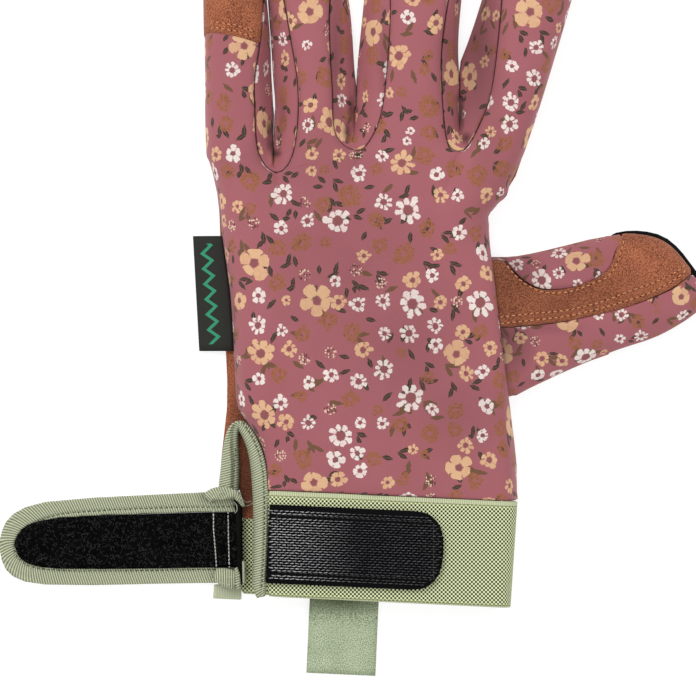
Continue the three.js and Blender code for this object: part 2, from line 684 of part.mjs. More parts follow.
// Seams across the thumb: shares of the way from its top edge to its low edge
const THUMB_SEAMS = [
  { station: 0, cut: 0.02, edge: 0.49 },
  { station: 0.058, cut: 0.02, edge: 0.504 },
  { station: 0.076, cut: 0.05, edge: 0.508 },
  { station: 0.098, cut: 0.118, edge: 0.514 },
  { station: 0.13, cut: 0.196, edge: 0.527 },
  { station: 0.184, cut: 0.284, edge: 0.549 },
  { station: 0.25, cut: 0.328, edge: 0.575 },
  { station: 0.31, cut: 0.352, edge: 0.598 },
  { station: 0.37, cut: 0.358, edge: 0.614 },
  { station: 0.428, cut: 0.346, edge: 0.628 },
  { station: 0.466, cut: 0.33, edge: 0.635 },
  { station: 0.496, cut: 0.292, edge: 0.64 },
  { station: 0.516, cut: 0.236, edge: 0.643 },
  { station: 0.53, cut: 0.164, edge: 0.644 },
  { station: 0.541, cut: 0.085, edge: 0.644 },
  { station: 0.555, cut: 0, edge: 0.642 },
  { station: 0.6, cut: 0, edge: 0.63 },
  { station: 0.65, cut: 0, edge: 0.603 },
  { station: 0.7, cut: 0, edge: 0.564 },
  { station: 0.744, cut: 0, edge: 0.508 },
  { station: 0.778, cut: 0, edge: 0.452 },
  { station: 0.812, cut: 0, edge: 0.364 },
  { station: 0.846, cut: 0, edge: 0.232 },
  { station: 0.87, cut: 0, edge: 0.06 },
  { station: 0.89, cut: 0, edge: 0 },
  { station: 0.94, cut: 0, edge: 0 },
  { station: 1, cut: 0, edge: 0 },
];

function thumbEdge(edge) {
  const points = edge.out.map((out, i) => new THREE.Vector3(
    THUMB_ROOT + out * THUMB_LENGTH,
    THUMB_MIDDLE + edge.across[i] * THUMB_WIDTH,
    0,
  ));
  const start = points[0].clone();
  start.x -= THUMB_TUCK;
  return smoothLine([start, ...points]);
}

const thumbTopRail = thumbEdge(THUMB_TOP_EDGE);
const thumbLowRail = thumbEdge(THUMB_LOW_EDGE);

// A point on the thumb's top, from its station and its share of the way across
function thumbSurface(station, across) {
  const point = mixPoint(thumbTopRail(station), thumbLowRail(station), across);
  const fall = mix(1, 0.86, station) * roundRise((1.002 - station) / 0.22);
  const shoulder = mix(THUMB_SHOULDER, 0.42, station);
  const round = roundRise(Math.min(across, 1 - across) / shoulder);
  point.z = GROUND + (THUMB_HEIGHT - GROUND) * fall * round;
  return point;
}

function thumbPatch(stations, from, to, steps, gap) {
  return steps.map((step) => stations.map((station) => {
    const width = thumbTopRail(station).distanceTo(thumbLowRail(station));
    const inset = Math.min(gap / width, (to(station) - from(station)) / 4);
    return thumbSurface(station, mix(from(station) + inset * 0.5, to(station) - inset * 0.5, step));
  })).reverse();
}

const THUMB_STATIONS = THUMB_SEAMS.map((row) => row.station);
const cutAt = (station) => readTable(THUMB_SEAMS, 'station', 'cut', station);
const edgeAt = (station) => readTable(THUMB_SEAMS, 'station', 'edge', station);
// A printed piece keeps clear of the seam also where the seam runs steeply across the thumb
const SEAM_REACH = [-0.012, -0.006, 0, 0.006, 0.012];
const insetEnd = (station) => Math.min(...SEAM_REACH.map((step) => cutAt(station + step)));
const edgeStart = (station) => Math.max(...SEAM_REACH.map((step) => edgeAt(station + step)));
const insetStations = THUMB_STATIONS.filter((station) => insetEnd(station) > 0.01);
const insetRows = thumbPatch(insetStations, () => 0, insetEnd, [0, 0.12, 0.32, 0.62, 1], EDGE_GAP);
addPiece('thumb_floral_inset', clothSheet([insetRows], SIDE_WALL, GROUND), printedKnit);
const suedeStations = THUMB_STATIONS.filter((station) => edgeAt(station) > 0.02);
const suedeRows = thumbPatch(suedeStations, cutAt, edgeAt, [0, 0.1, 0.25, 0.5, 0.75, 1], EDGE_GAP);
addPiece('thumb_back_suede', clothSheet([suedeRows], SIDE_WALL, GROUND), brownSuede);
const edgeRows = thumbPatch(THUMB_STATIONS, edgeStart, () => 1, [0, 0.3, 0.6, 0.82, 0.94, 1], EDGE_GAP);
addPiece('thumb_floral_edge', clothSheet([edgeRows], SIDE_WALL, GROUND), printedKnit);

// Thumb underside: suede up to the black guard, which covers the tip and shows along its top edge
const GUARD_START = 1 - GUARD_LENGTH / THUMB_LENGTH;
const GUARD_TUCK = 0.02;
const UNDER_STATIONS = [0, 0.03, 0.06, 0.09, 0.13, 0.19, 0.26, 0.34, 0.42];
const ROOT_SHARES = [0, 0.25, 0.5, 0.75, 1];
const GUARD_STATIONS = [0.53, 0.57, 0.61, 0.65, 0.69, 0.73, 0.77, 0.81, 0.84, 0.87, 0.9, 0.93, 0.965, 1];

function handEdge(y) {
  return readTable(RIGHT_SIDE, 'up', 'across', y / PALM_LENGTH) * HAND_WIDTH;
}

function thumbUnderside() {
  const outside = (point) => point.x > handEdge(point.y) + SEAM_GAP + EDGE_GAP;
  const stations = [...UNDER_STATIONS, GUARD_START];
  const upper = stations.map(thumbTopRail).filter(outside);
  const lower = stations.map(thumbLowRail).filter(outside);
  const root = ROOT_SHARES.map((share) => {
    const y = mix(lower[0].y, upper[0].y, share);
    return new THREE.Vector3(handEdge(y) + EDGE_GAP, y, 0);
  });
  return [...upper, ...lower.reverse(), ...root];
}

function guardOutline() {
  const start = GUARD_START + EDGE_GAP / THUMB_LENGTH;
  const rim = GUARD_STATIONS.map((station) => {
    const here = thumbTopRail(station);
    const ahead = thumbTopRail(station + 0.01).sub(thumbTopRail(station - 0.01)).normalize();
    const proud = GUARD_RIM * roundRise((station - start) / 0.25);
    return here.add(new THREE.Vector3(-ahead.y, ahead.x, 0).multiplyScalar(proud));
  });
  const tucked = (station) => mixPoint(thumbLowRail(station), thumbTopRail(station), GUARD_TUCK);
  const under = [...GUARD_STATIONS].reverse().map(tucked);
  return [thumbTopRail(start), ...rim, ...under, tucked(start)];
}

addPiece('thumb_palm', plate(thumbUnderside(), 0, PALM_WALL), brownSuede);
addPiece('thumb_tip_guard', plate(guardOutline(), 0, PALM_WALL), blackGuard);

// Cuff: an elastic band from the vent over the back, round the right side and back under the palm
const CUFF_ROWS = [0, 0.2, 0.4, 0.6, 0.8, 1];
const WRAP_ANGLES = [60, 30, 0, -30, -60, -90];

function cuffColumn(x, z, side, drop) {
  return CUFF_ROWS.map((share) => {
    const y = cuffTop(x) - mix(CUFF_LENGTH, drop, share);
    return new THREE.Vector3(x - side * CUFF_TAPER * (1 - share), y, z);
  });
}

function cuffColumns() {
  const radius = CUFF_HEIGHT / 2;
  const columns = [];
  for (const share of [0, 0.2, 0.4, 0.6, 0.8, 1]) {
    const x = mix(CUFF_LEFT, CUFF_RIGHT - radius, share);
    columns.push(cuffColumn(x, CUFF_HEIGHT, share * share, 0));
  }
  for (const angle of WRAP_ANGLES) {
    const x = CUFF_RIGHT - radius + radius * Math.cos(radians(angle));
    columns.push(cuffColumn(x, radius + radius * Math.sin(radians(angle)), 1, 0));
  }
  for (const share of [0, 0.3, 0.6, 1]) {
    const x = mix(CUFF_RIGHT - CUFF_CORNER, UNDERCUFF_LEFT + SEAM_GAP, share);
    columns.push(cuffColumn(x, 0, 1 - share, UNDERCUFF_DROP));
  }
  return columns;
}

function turnGrid(columns) {
  return columns[0].map((_, i) => columns.map((column) => column[i]));
}

addPiece('cuff_band', clothSheet([turnGrid(cuffColumns())], CUFF_WALL), greenMesh);

// Vent: ribbed tape from the apex down both sides of the slit
const VENT_RIGHT = [
  { up: -0.187, width: 0.35 },
  { up: -0.2, width: 1 },
  { up: -0.225, width: 1.42 },
  { up: -0.243, width: 1.65 },
  { up: -0.25, width: 1 },
  { up: -0.272, width: 1.05 },
  { up: -0.312, width: 1 },
  { up: -0.353, width: 1 },
  { up: -0.41, width: 0.9 },
];

function ventRight() {
  const rows = VENT_RIGHT.map((row) => {
    const outer = readTable(LEFT_SIDE, 'up', 'across', row.up) * HAND_WIDTH - SEAM_GAP - EDGE_GAP;
    const height = mix(GROUND, CUFF_HEIGHT, readTable(LEFT_SIDE, 'up', 'edge', row.up));
    const width = row.width * VENT_TAPE_WIDTH;
    return { outer, y: row.up * PALM_LENGTH, width, height: height + TAPE_PROUD };
  });
  const last = rows[rows.length - 1];
  for (const share of [0.3, 0.6, 0.9, 1]) {
    const y = CUFF_LINE - share * (CUFF_LENGTH + 0.6);
    const width = last.width * (share === 1 ? 0.6 : 1);
    rows.push({ ...last, outer: CUFF_LEFT - SEAM_GAP, y, width });
  }
  return rows.reverse().map((row) => [0, 0.15, 0.5, 0.85, 1].map((share) => {
    const bulge = Math.sin(Math.PI * share) * TAPE_CROWN;
    return new THREE.Vector3(row.outer - row.width * (1 - share), row.y, row.height + bulge);
  }));
}

const VENT_LEFT = [
  { up: -0.255, outer: -0.49, inner: -0.444 },
  { up: -0.28, outer: -0.496, inner: -0.441 },
  { up: -0.32, outer: -0.499, inner: -0.438 },
  { up: -0.37, outer: -0.504, inner: -0.437 },
];

function ventLeft() {
  const low = (strapTop(0) + SEAM_GAP) / PALM_LENGTH;
  const end = { up: low, outer: -0.515, inner: -0.437 };
  return [...VENT_LEFT, end].reverse().map((row) => [0, 0.2, 0.5, 0.8, 1].map((share) => {
    const point = handPoint(mix(row.outer, row.inner, share), row.up);
    point.z = GROUND + TAPE_THICKNESS + Math.sin(Math.PI * share) * TAPE_CROWN;
    return point;
  }));
}

addPiece('vent_binding_right', clothSheet([ventRight()], TAPE_THICKNESS), greenTape);
addPiece('vent_binding_left', clothSheet([ventLeft()], TAPE_THICKNESS), greenTape);

// Hook tape sewn on the back of the cuff, with a round right end
function hookOutline() {
  const left = CUFF_LEFT + SEAM_GAP;
  const centre = CUFF_LINE - HOOK_DROP - HOOK_WIDTH / 2;
  const half = HOOK_WIDTH / 2;
  const outline = [new THREE.Vector2(left, centre - half)];
  for (let angle = -90; angle <= 90; angle += 15) {
    const turn = radians(angle);
    const x = left + HOOK_LENGTH - HOOK_END * (1 - Math.max(Math.cos(turn), 0) ** 0.8);
    outline.push(new THREE.Vector2(x, centre + half * Math.sign(turn) * Math.abs(Math.sin(turn)) ** 0.8));
  }
  outline.push(new THREE.Vector2(left, centre + half));
  return outline;
}

const hookLow = CUFF_HEIGHT + SEAM_GAP;
const hookSlant = Math.atan(CUFF_SLANT / (CUFF_RIGHT - CUFF_LEFT));
const hookCorner = new THREE.Vector2(CUFF_LEFT + SEAM_GAP, CUFF_LINE - HOOK_DROP - HOOK_WIDTH / 2);
const hookTurned = hookOutline().map((point) => point.rotateAround(hookCorner, -hookSlant));
addPiece('hook_patch', plate(hookTurned, hookLow, hookLow + HOOK_THICKNESS), blackHook);

// Pull tab: sewn to the inside of the palm side of the cuff, and lying out below it
const TAB_PROFILE = [
  { share: 0, lift: 1 },
  { share: 0.12, lift: 1 },
  { share: 0.21, lift: 1 },
  { share: 0.29, lift: 0.4 },
  { share: 0.36, lift: 0 },
  { share: 0.68, lift: 0 },
  { share: 1, lift: 0 },
];

function pullTab() {
  const top = cuffTop(TAB_CENTRE) - CUFF_LENGTH + TAB_SEAM;
  return TAB_PROFILE.map((row) => [-0.5, -0.25, 0, 0.25, 0.5].map((across) => new THREE.Vector3(
    TAB_CENTRE + across * TAB_WIDTH - row.share * TAB_LEAN,
    top - row.share * (TAB_LENGTH + across * TAB_SLANT),
    TAB_THICKNESS + row.lift * (CUFF_WALL + SEAM_GAP),
  ))).reverse();
}

addPiece('pull_tab', clothSheet([pullTab()], TAB_THICKNESS), greenBrushed);

// Short end of binding below the root of the strap
const tailTop = STRAP_CENTRE - 0.5 * STRAP_WIDTH - SEAM_GAP;
const tailLeft = STRAP_ROOT - TAIL_WIDTH;
const tailOutline = [
  new THREE.Vector2(tailLeft - 0.05 * TAIL_WIDTH, tailTop - TAIL_LENGTH),
  new THREE.Vector2(STRAP_ROOT, tailTop - 1.1 * TAIL_LENGTH),
  new THREE.Vector2(STRAP_ROOT, tailTop),
  new THREE.Vector2(tailLeft, tailTop),
];
addPiece('binding_tail', plate(tailOutline, 0, STRAP_WALL), greenTape);

// Side tab: a folded woven strip held in the side seam, its free edge drooping to the surface
function sideLabel() {
  const rows = [1, 0.75, 0.5, 0.25, 0];
  return rows.map((down) => {
    const y = LABEL_TOP - down * LABEL_LENGTH;
    const seam = readTable(LEFT_SIDE, 'up', 'across', y / PALM_LENGTH) * HAND_WIDTH - SEAM_GAP;
    const margin = readTable(PALM_MARGIN, 'up', 'across', y / PALM_LENGTH) * HAND_WIDTH - SEAM_GAP;
    const low = LABEL_THICKNESS + GROUND;
    const out = mix(LABEL_TOP_OUT, LABEL_LOW_OUT, down);
    return [
      new THREE.Vector3(out, y, LABEL_THICKNESS),
      new THREE.Vector3(mix(out, margin, 0.45), y, mix(LABEL_THICKNESS, low, 0.45)),
      new THREE.Vector3(margin - 0.6, y, low),
      new THREE.Vector3(seam, y, low),
    ];
  });
}

addPiece('side_label', clothSheet([sideLabel()], LABEL_THICKNESS), blackWoven);

export default glove;
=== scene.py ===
# A left-hand gardening glove lying palm down: printed knit back, suede palm, open cuff strap.
import math
import random

import bpy
import numpy as np
from mathutils import Matrix, Vector, noise
from mathutils.bvhtree import BVHTree


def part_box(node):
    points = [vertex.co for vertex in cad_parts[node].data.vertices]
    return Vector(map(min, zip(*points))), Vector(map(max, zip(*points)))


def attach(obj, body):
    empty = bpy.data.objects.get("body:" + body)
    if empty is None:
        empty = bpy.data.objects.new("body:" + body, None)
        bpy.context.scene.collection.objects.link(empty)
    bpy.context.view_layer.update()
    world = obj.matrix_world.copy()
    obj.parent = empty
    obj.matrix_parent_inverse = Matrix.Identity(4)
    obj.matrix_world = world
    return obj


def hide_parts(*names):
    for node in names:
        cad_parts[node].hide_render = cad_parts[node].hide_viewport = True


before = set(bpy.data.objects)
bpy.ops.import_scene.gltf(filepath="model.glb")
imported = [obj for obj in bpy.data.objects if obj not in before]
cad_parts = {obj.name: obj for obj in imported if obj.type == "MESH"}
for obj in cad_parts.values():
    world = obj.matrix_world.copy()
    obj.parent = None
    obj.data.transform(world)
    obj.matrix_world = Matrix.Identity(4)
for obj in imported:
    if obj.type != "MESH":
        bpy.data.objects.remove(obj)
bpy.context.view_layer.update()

# Floor, light and camera.
# The glove lies on a light table, whose white top glows faintly, and is seen from straight above.
# Photo places are pixels of the 696 pixel frame; one pixel is 0.3125 mm on the table.
MM = 0.001
PIXEL = 0.3125 * MM
PALM_MIDDLE_PIXEL = (365, 350)
FRAME_PIXELS = 696
CAMERA_HEIGHT = 1.3
GLOVE_TOP = 9 * MM
SENSOR = 36
TABLE_SIZE = 6
TABLE_DROP = 0.2 * MM
TABLE_GREY = 0.32
TABLE_GLOW = 0.78
SKY_GLOW = 0.68


def photo_place(column, row):
    """The place on the table that a pixel of the photo shows."""
    return Vector(((column - PALM_MIDDLE_PIXEL[0]) * PIXEL, (PALM_MIDDLE_PIXEL[1] - row) * PIXEL, 0))


def new_material(name, roughness, sheen=0, gloss=0.3):
    """A material, its node tree, and its shader with the finish set."""
    material = bpy.data.materials.new(name)
    material.use_nodes = True
    tree = material.node_tree
    shader = tree.nodes["Principled BSDF"]
    shader.inputs["Roughness"].default_value = roughness
    shader.inputs["Sheen Weight"].default_value = sheen
    shader.inputs["Specular IOR Level"].default_value = gloss
    return material, tree, shader


bpy.ops.object.select_all(action="DESELECT")
bpy.ops.mesh.primitive_plane_add(size=TABLE_SIZE, location=(0, 0, -TABLE_DROP))
table = bpy.context.object
table.name = "table_top"
table_white, tree, shader = new_material("table white", 0.9)
shader.inputs["Base Color"].default_value = (TABLE_GREY, TABLE_GREY, TABLE_GREY, 1)
shader.inputs["Emission Color"].default_value = (1, 1, 1, 1)
shader.inputs["Emission Strength"].default_value = TABLE_GLOW
table.data.materials.append(table_white)

scene = bpy.context.scene
scene.view_settings.view_transform = "Standard"
if scene.world is None:
    scene.world = bpy.data.worlds.new("studio")
scene.world.use_nodes = True
sky = scene.world.node_tree.nodes["Background"]
sky.inputs["Color"].default_value = (1, 1, 1, 1)
sky.inputs["Strength"].default_value = SKY_GLOW


def soft_box(name, place, size, power):
    """A square studio light that looks at the middle of the glove."""
    bpy.ops.object.light_add(type="AREA", location=place)
    light = bpy.context.object
    light.name = name
    light.data.size = size
    light.data.energy = power
    light.rotation_euler = (-Vector(place)).to_track_quat("-Z", "Y").to_euler()


soft_box("key_light", place=(-0.5, 0.55, 0.75), size=0.5, power=5)
soft_box("fill_light", place=(0.7, -0.2, 0.9), size=0.8, power=2.5)

middle = photo_place(FRAME_PIXELS / 2, FRAME_PIXELS / 2)
bpy.ops.object.camera_add(location=(middle.x, middle.y, CAMERA_HEIGHT), rotation=(0, 0, 0))
camera = bpy.context.object
camera.data.sensor_width = SENSOR
camera.data.lens = SENSOR * (CAMERA_HEIGHT - GLOVE_TOP) / (FRAME_PIXELS * PIXEL)
scene.camera = camera

# Back of the hand and the backs of the fingers.
# A thin stretch knit with a small painted flower print, cut in one piece and sewn to the
# suede palm along the hand's edges and to the strips between the fingers.
MERGE = 0.005 * MM
QUAD_BEND = math.radians(60)
SHARP = math.radians(50)
SIDE_ROLL = 0.7
DAYLIGHT = 1.06
# Nudges: a place of the photo, the reach round it in pixels, and the move in millimetres.
HAND_CORNER = (489, 213), (9, 11), (-0.9, -0.1, 0)
INDEX_HEEL = (505, 194), (13, 12), (0.9, -0.5, 0)


def select_only(piece):
    bpy.ops.object.select_all(action="DESELECT")
    piece.select_set(True)
    bpy.context.view_layer.objects.active = piece


def opened_copy(node, name):
    """A copy of a fixed piece, merged and open in edit mode with all of it selected."""
    piece = bpy.data.objects.new(name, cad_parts[node].data.copy())
    scene.collection.objects.link(piece)
    piece.data.materials.clear()
    select_only(piece)
    bpy.ops.mesh.customdata_custom_splitnormals_clear()
    bpy.ops.object.mode_set(mode="EDIT")
    bpy.ops.mesh.select_all(action="SELECT")
    bpy.ops.mesh.remove_doubles(threshold=MERGE)
    return piece


def shape_by(piece, kind, **settings):
    """Adds a modifier to the active piece, makes its settings and applies it."""
    modifier = piece.modifiers.new("shaping", kind)
    for name, value in settings.items():
        setattr(modifier, name, value)
    bpy.ops.object.modifier_apply(modifier=modifier.name)


def cloth_from(node, name, crease=0.8):
    """A copy of a fixed cloth piece, merged into quads, with its faces rounded by subdivision."""
    piece = opened_copy(node, name)
    bpy.ops.mesh.tris_convert_to_quads(face_threshold=QUAD_BEND, shape_threshold=QUAD_BEND)
    bpy.ops.mesh.select_all(action="DESELECT")
    bpy.ops.mesh.select_mode(type="EDGE")
    bpy.ops.mesh.edges_select_sharp(sharpness=SHARP)
    bpy.ops.transform.edge_crease(value=crease)
    bpy.ops.object.mode_set(mode="OBJECT")
    shape_by(piece, "SUBSURF", levels=2, render_levels=2)
    bpy.ops.object.shade_smooth()
    return piece


def give_map(piece, spots):
    """Stores a flat place in metres for each corner of the piece, as its only map."""
    layer = piece.data.uv_layers.new(name="cloth")
    loops = np.array([loop.vertex_index for loop in piece.data.loops])
    layer.data.foreach_set("uv", spots[loops].astype(np.float32).ravel())
    for other in [layer for layer in piece.data.uv_layers if layer.name != "cloth"]:
        piece.data.uv_layers.remove(other)


def unroll(piece, shift=(0, 0), scale=1):
    """Maps the cloth as it lies seen from above, with its steep sides rolled out flat."""
    corners = np.array([corner.co for corner in piece.data.vertices])
    ways = np.array([corner.normal for corner in piece.data.vertices])
    drop = corners[:, 2].max() - corners[:, 2]
    lean = SIDE_ROLL * drop / (1 + np.maximum(ways[:, 2], 0))
    give_map(piece, (corners[:, :2] + ways[:, :2] * lean[:, None]) * scale + np.array(shift))


def crumple(piece, size, height, seed=0, floor=1.5 * MM, full=6 * MM):
    """Slow small waves in the cloth, the same through the wall, fading out towards the table."""
    for corner in piece.data.vertices:
        spot = Vector((corner.co.x / size, corner.co.y / size, seed))
        wave = noise.noise(spot) + 0.5 * noise.noise(spot * 2.3)
        share = min(max((corner.co.z - floor) / full, 0), 1)
        corner.co.z += wave * height * share


def fatten(piece, distance):
    """Moves a piece's corners outwards by a distance, but not down into the table."""
    ways = [corner.normal.copy() for corner in piece.data.vertices]
    for corner, way in zip(piece.data.vertices, ways):
        corner.co += way * distance
        corner.co.z = max(corner.co.z, 0)


def far_from(spot, place, reach):
    """How far a spot is from a place of the photo, as a share of an oval reach in pixels."""
    off = spot - photo_place(*place)
    return math.hypot(off.x / (reach[0] * PIXEL), off.y / (reach[1] * PIXEL))


def nudge(piece, *nudges):
    """Moves the corners within an oval round each nudge's place, the ones in its middle most."""
    for place, reach, move in nudges:
        for corner in piece.data.vertices:
            far = far_from(corner.co, place, reach)
            if far < 1:
                corner.co += Vector(move) * MM * (1 - far * far) ** 2


def store(piece, name, values):
    """Stores one number for each corner of the piece, for its material to read."""
    piece.data.attributes.new(name, "FLOAT", "POINT").data.foreach_set("value", values)


def paint_fold_shade(piece, *painted_shadows):
    """Stores painted shade at each corner, from 0 to 1: the darkest of the painted shadows, each a place, a
    reach in pixels and a depth.
    """
    depths = []
    for corner in piece.data.vertices:
        nears = [max(1 - far_from(corner.co, place, reach), 0) for place, reach, _ in painted_shadows]
        depths.append(max(near ** 0.7 * depth for near, (_, _, depth) in zip(nears, painted_shadows)))
    store(piece, "shade", depths)


def fit(piece, material, slot, *nodes):
    """Gives the piece its material and puts it on the glove's one body, in place of CAD nodes."""
    piece.data.materials.clear()
    piece.data.materials.append(material)
    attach(piece, "root")
    if nodes:
        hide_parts(*nodes)


def paint(red, green, blue):
    """A colour as it looks in the light of this scene, from 0 to 255 a channel."""
    shares = [value / 255 for value in (red, green, blue)]
    linear = [s / 12.92 if s <= 0.04045 else ((s + 0.055) / 1.055) ** 2.4 for s in shares]
    return (*(value / DAYLIGHT for value in linear), 1)


class Number:
    """A number, place or colour that a shader works out: sums with it add Math nodes to its tree."""

    def __init__(self, socket):
        self.socket = socket
        self.tree = socket.id_data

    def calc(self, operation, *others):
        return put(self.tree, "Math", dict(enumerate((self, *others))), operation=operation)

    def swapped(self, operation, other):
        return put(self.tree, "Math", {0: other, 1: self}, operation=operation)

    def clamp(self):
        """Keeps the last answer within 0 and 1."""
        self.socket.node.use_clamp = True
        return self

    def __add__(self, other):
        return self.calc("ADD", other)

    def __mul__(self, other):
        return self.calc("MULTIPLY", other)

    def __sub__(self, other):
        return self.calc("SUBTRACT", other)

    def __rsub__(self, other):
        return self.swapped("SUBTRACT", other)

    def __truediv__(self, other):
        return self.calc("DIVIDE", other)

    def __rtruediv__(self, other):
        return self.swapped("DIVIDE", other)

    def __gt__(self, other):
        return self.calc("GREATER_THAN", other)

    def __lt__(self, other):
        return self.calc("LESS_THAN", other)

    def __abs__(self):
        return self.calc("ABSOLUTE")

    def vector(self, operation, *others, output=0):
        inputs = dict(enumerate((self, *others)))
        return put(self.tree, "VectorMath", inputs, output, operation=operation)

    def scaled(self, factor):
        return put(self.tree, "VectorMath", {0: self, 3: factor}, operation="SCALE")

    def length(self):
        return self.vector("LENGTH", output="Value")


def fill(node, inputs):
    """Fills a node's inputs, each with a plain value or from another node."""
    for name, value in inputs.items():
        if isinstance(value, Number):
            node.id_data.links.new(value.socket, node.inputs[name])
        else:
            node.inputs[name].default_value = value
    return node


def node_of(tree, kind, inputs, settings):
    """Adds a shader node and gives it its settings and inputs."""
    node = tree.nodes.new("ShaderNode" + kind)
    for name, value in settings.items():
        setattr(node, name, value)
    return fill(node, inputs or {})


def answers_of(tree, kind, inputs, **settings):
    """The answers of a new shader node by name."""
    return {socket.name: Number(socket) for socket in node_of(tree, kind, inputs, settings).outputs}


def put(tree, kind, inputs=None, output=0, **settings):
    """One answer of a new shader node."""
    return Number(node_of(tree, kind, inputs, settings).outputs[output])


def blend(share, under, over):
    """One colour over another by a share from 0 to 1."""
    return put(share.tree, "Mix", {0: share, 6: under, 7: over}, output=2, data_type="RGBA")


def split(place):
    """The three numbers of a place or a colour."""
    return answers_of(place.tree, "SeparateXYZ", {0: place}).values()


def speckle(place, scale, detail=2, rough=0.6):
    """Fine even noise, about 0 to 1."""
    inputs = {"Vector": place, "Scale": scale, "Detail": detail, "Roughness": rough}
    return put(place.tree, "TexNoise", inputs, "Fac")


def sharpen(value, threshold, slope):
    """Turns a soft value into a mask: 0 below the threshold, quickly 1 above it."""
    return ((value - threshold) * slope).clamp()


def between(value, low, high):
    """1 where a value lies from low to high, otherwise 0."""
    return (value > low) * (value < high)


def with_painted_shade(colour, shade_tone):
    """The cloth's colour with painted shade: turned towards its dark shade tone by the shade stored at each
    corner.
    """
    return blend(put(colour.tree, "Attribute", output="Fac", attribute_name="shade"), colour, shade_tone)


def finish(shader, colour, height=None, strength=0.8, depth=0.2):
    """Gives a material its colour, and its relief as a height with a depth in millimetres."""
    fill(shader, {"Base Color": colour})
    if height is not None:
        relief = {"Strength": strength, "Distance": depth * MM, "Height": height}
        fill(shader, {"Normal": put(colour.tree, "Bump", relief)})


def group_of(name, inputs, outputs):
    """A new shader node group, with what it is given and the node that takes its answers."""
    tree = bpy.data.node_groups.new(name, "ShaderNodeTree")
    for direction, sockets in (("INPUT", inputs), ("OUTPUT", outputs)):
        for socket, kind in sockets.items():
            tree.interface.new_socket(socket, in_out=direction, socket_type="NodeSocket" + kind)
    given = {socket.name: Number(socket) for socket in tree.nodes.new("NodeGroupInput").outputs}
    return tree, given, tree.nodes.new("NodeGroupOutput")


def use(tree, group, inputs):
    """The answers of a group placed in a material."""
    return answers_of(tree, "Group", inputs, node_tree=group)


def flower_bed_group():
    """Scatters flowers over the cloth: where the nearest one is, how much room it has, its lucks."""
    sockets = {"Place": "Vector", "Spacing": "Float", "Shift": "Vector", "Scatter": "Float"}
    answers = {"Offset": "Vector", "Room": "Float", "Luck": "Float", "Turn": "Float", "Size": "Float"}
    tree, given, answer = group_of("flower bed", sockets, answers)
    moved = given["Place"].vector("ADD", given["Shift"])
    inputs = {"Vector": moved, "Scale": 1 / given["Spacing"], "Randomness": given["Scatter"]}
    nearest = answers_of(tree, "TexVoronoi", inputs, voronoi_dimensions="2D")
    free = put(tree, "TexVoronoi", inputs, "Radius", voronoi_dimensions="2D", feature="N_SPHERE_RADIUS")
    luck, turn, size = split(nearest["Color"])
    offset = moved.vector("SUBTRACT", nearest["Position"])
    room = free * given["Spacing"]
    fill(answer, {"Offset": offset, "Room": room, "Luck": luck, "Turn": turn, "Size": size})
    return tree


PETAL_BULGE = 0.58
PETAL_NECK = 0.76
PETAL_FLARE = 0.56
PETAL_ROOM = 0.62 * math.pi
SMALLEST_FLOWER = 1.2


def flower_group():
    """One hand painted flower: petals that widen from a bare heart to their round, ragged ends."""
    sockets = {"Offset": "Vector"}
    for name in ("Room", "Turn", "Size", "Smallest", "Largest", "Petals", "Fullness", "Heart", "Ragged"):
        sockets[name] = "Float"
    answers = {"Petals": "Float", "Heart": "Float", "Petal luck": "Float"}
    tree, given, answer = group_of("painted flower", sockets, answers)
    petals = given["Petals"]
    wanted = given["Smallest"] + (given["Largest"] - given["Smallest"]) * given["Size"]
    radius = wanted.calc("MINIMUM", given["Room"])
    x, y, _ = split(given["Offset"])
    out = given["Offset"].length()
    along = (y.calc("ARCTAN2", x) / math.tau + given["Turn"]) * petals
    number = along.calc("FLOOR").calc("FLOORED_MODULO", petals)
    tilt = (along.calc("FRACT") - 0.5) * (math.tau / petals)
    reach = out * tilt.calc("COSINE")
    aside = out * tilt.calc("SINE")
    seed = put(tree, "CombineXYZ", {0: number, 1: given["Turn"], 2: given["Size"]})
    lucks = put(tree, "TexWhiteNoise", {"Vector": seed}, "Color", noise_dimensions="3D")
    long_luck, wide_luck, ink_luck = split(lucks)
    length = radius * (long_luck * 0.36 + 0.68)
    heart = radius * given["Heart"]
    share = (reach - heart) / (length - heart)
    room = radius / petals * PETAL_ROOM
    spread = given["Fullness"] * (wide_luck * 0.4 + 0.8)
    flare = share * PETAL_FLARE + PETAL_NECK
    past = ((share - PETAL_BULGE) / (1 - PETAL_BULGE)).calc("MAXIMUM", 0)
    end = (1 - past * past).calc("MAXIMUM", 0).calc("SQRT")
    half_wide = room * spread * flare * end + given["Ragged"]
    within = sharpen(half_wide, abs(aside), 6)
    mask = within * sharpen(share, -0.06, 8) * (share < 1.02)
    drawn = radius > SMALLEST_FLOWER
    inside = sharpen(heart, out, 3) * drawn
    fill(answer, {"Petals": mask * drawn, "Heart": inside, "Petal luck": ink_luck})
    return tree


LEAF_WIDTH = 0.78
VEIN_WIDTH = 0.26


def leaf_group():
    """One small pointed leaf with a paler vein, turned and set aside from its bed's point."""
    sockets = {"Offset": "Vector", "Turn": "Float", "Aside": "Vector", "Length": "Float"}
    tree, given, answer = group_of("painted leaf", sockets, {"Leaf": "Float", "Vein": "Float"})
    moved = given["Offset"].vector("ADD", given["Aside"])
    angle = given["Turn"] * math.tau
    x, y, _ = split(put(tree, "VectorRotate", {"Vector": moved, "Angle": angle}, rotation_type="Z_AXIS"))
    along = x / given["Length"]
    leaf = sharpen((1 - along * along) * LEAF_WIDTH, abs(y), 6)
    fill(answer, {"Leaf": leaf, "Vein": leaf * sharpen(VEIN_WIDTH - abs(y), 0, 6)})
    return tree


def cloth_place(tree):
    """Where a point of the cloth is on its own map, in millimetres."""
    return put(tree, "UVMap", uv_map="cloth").scaled(1 / MM)


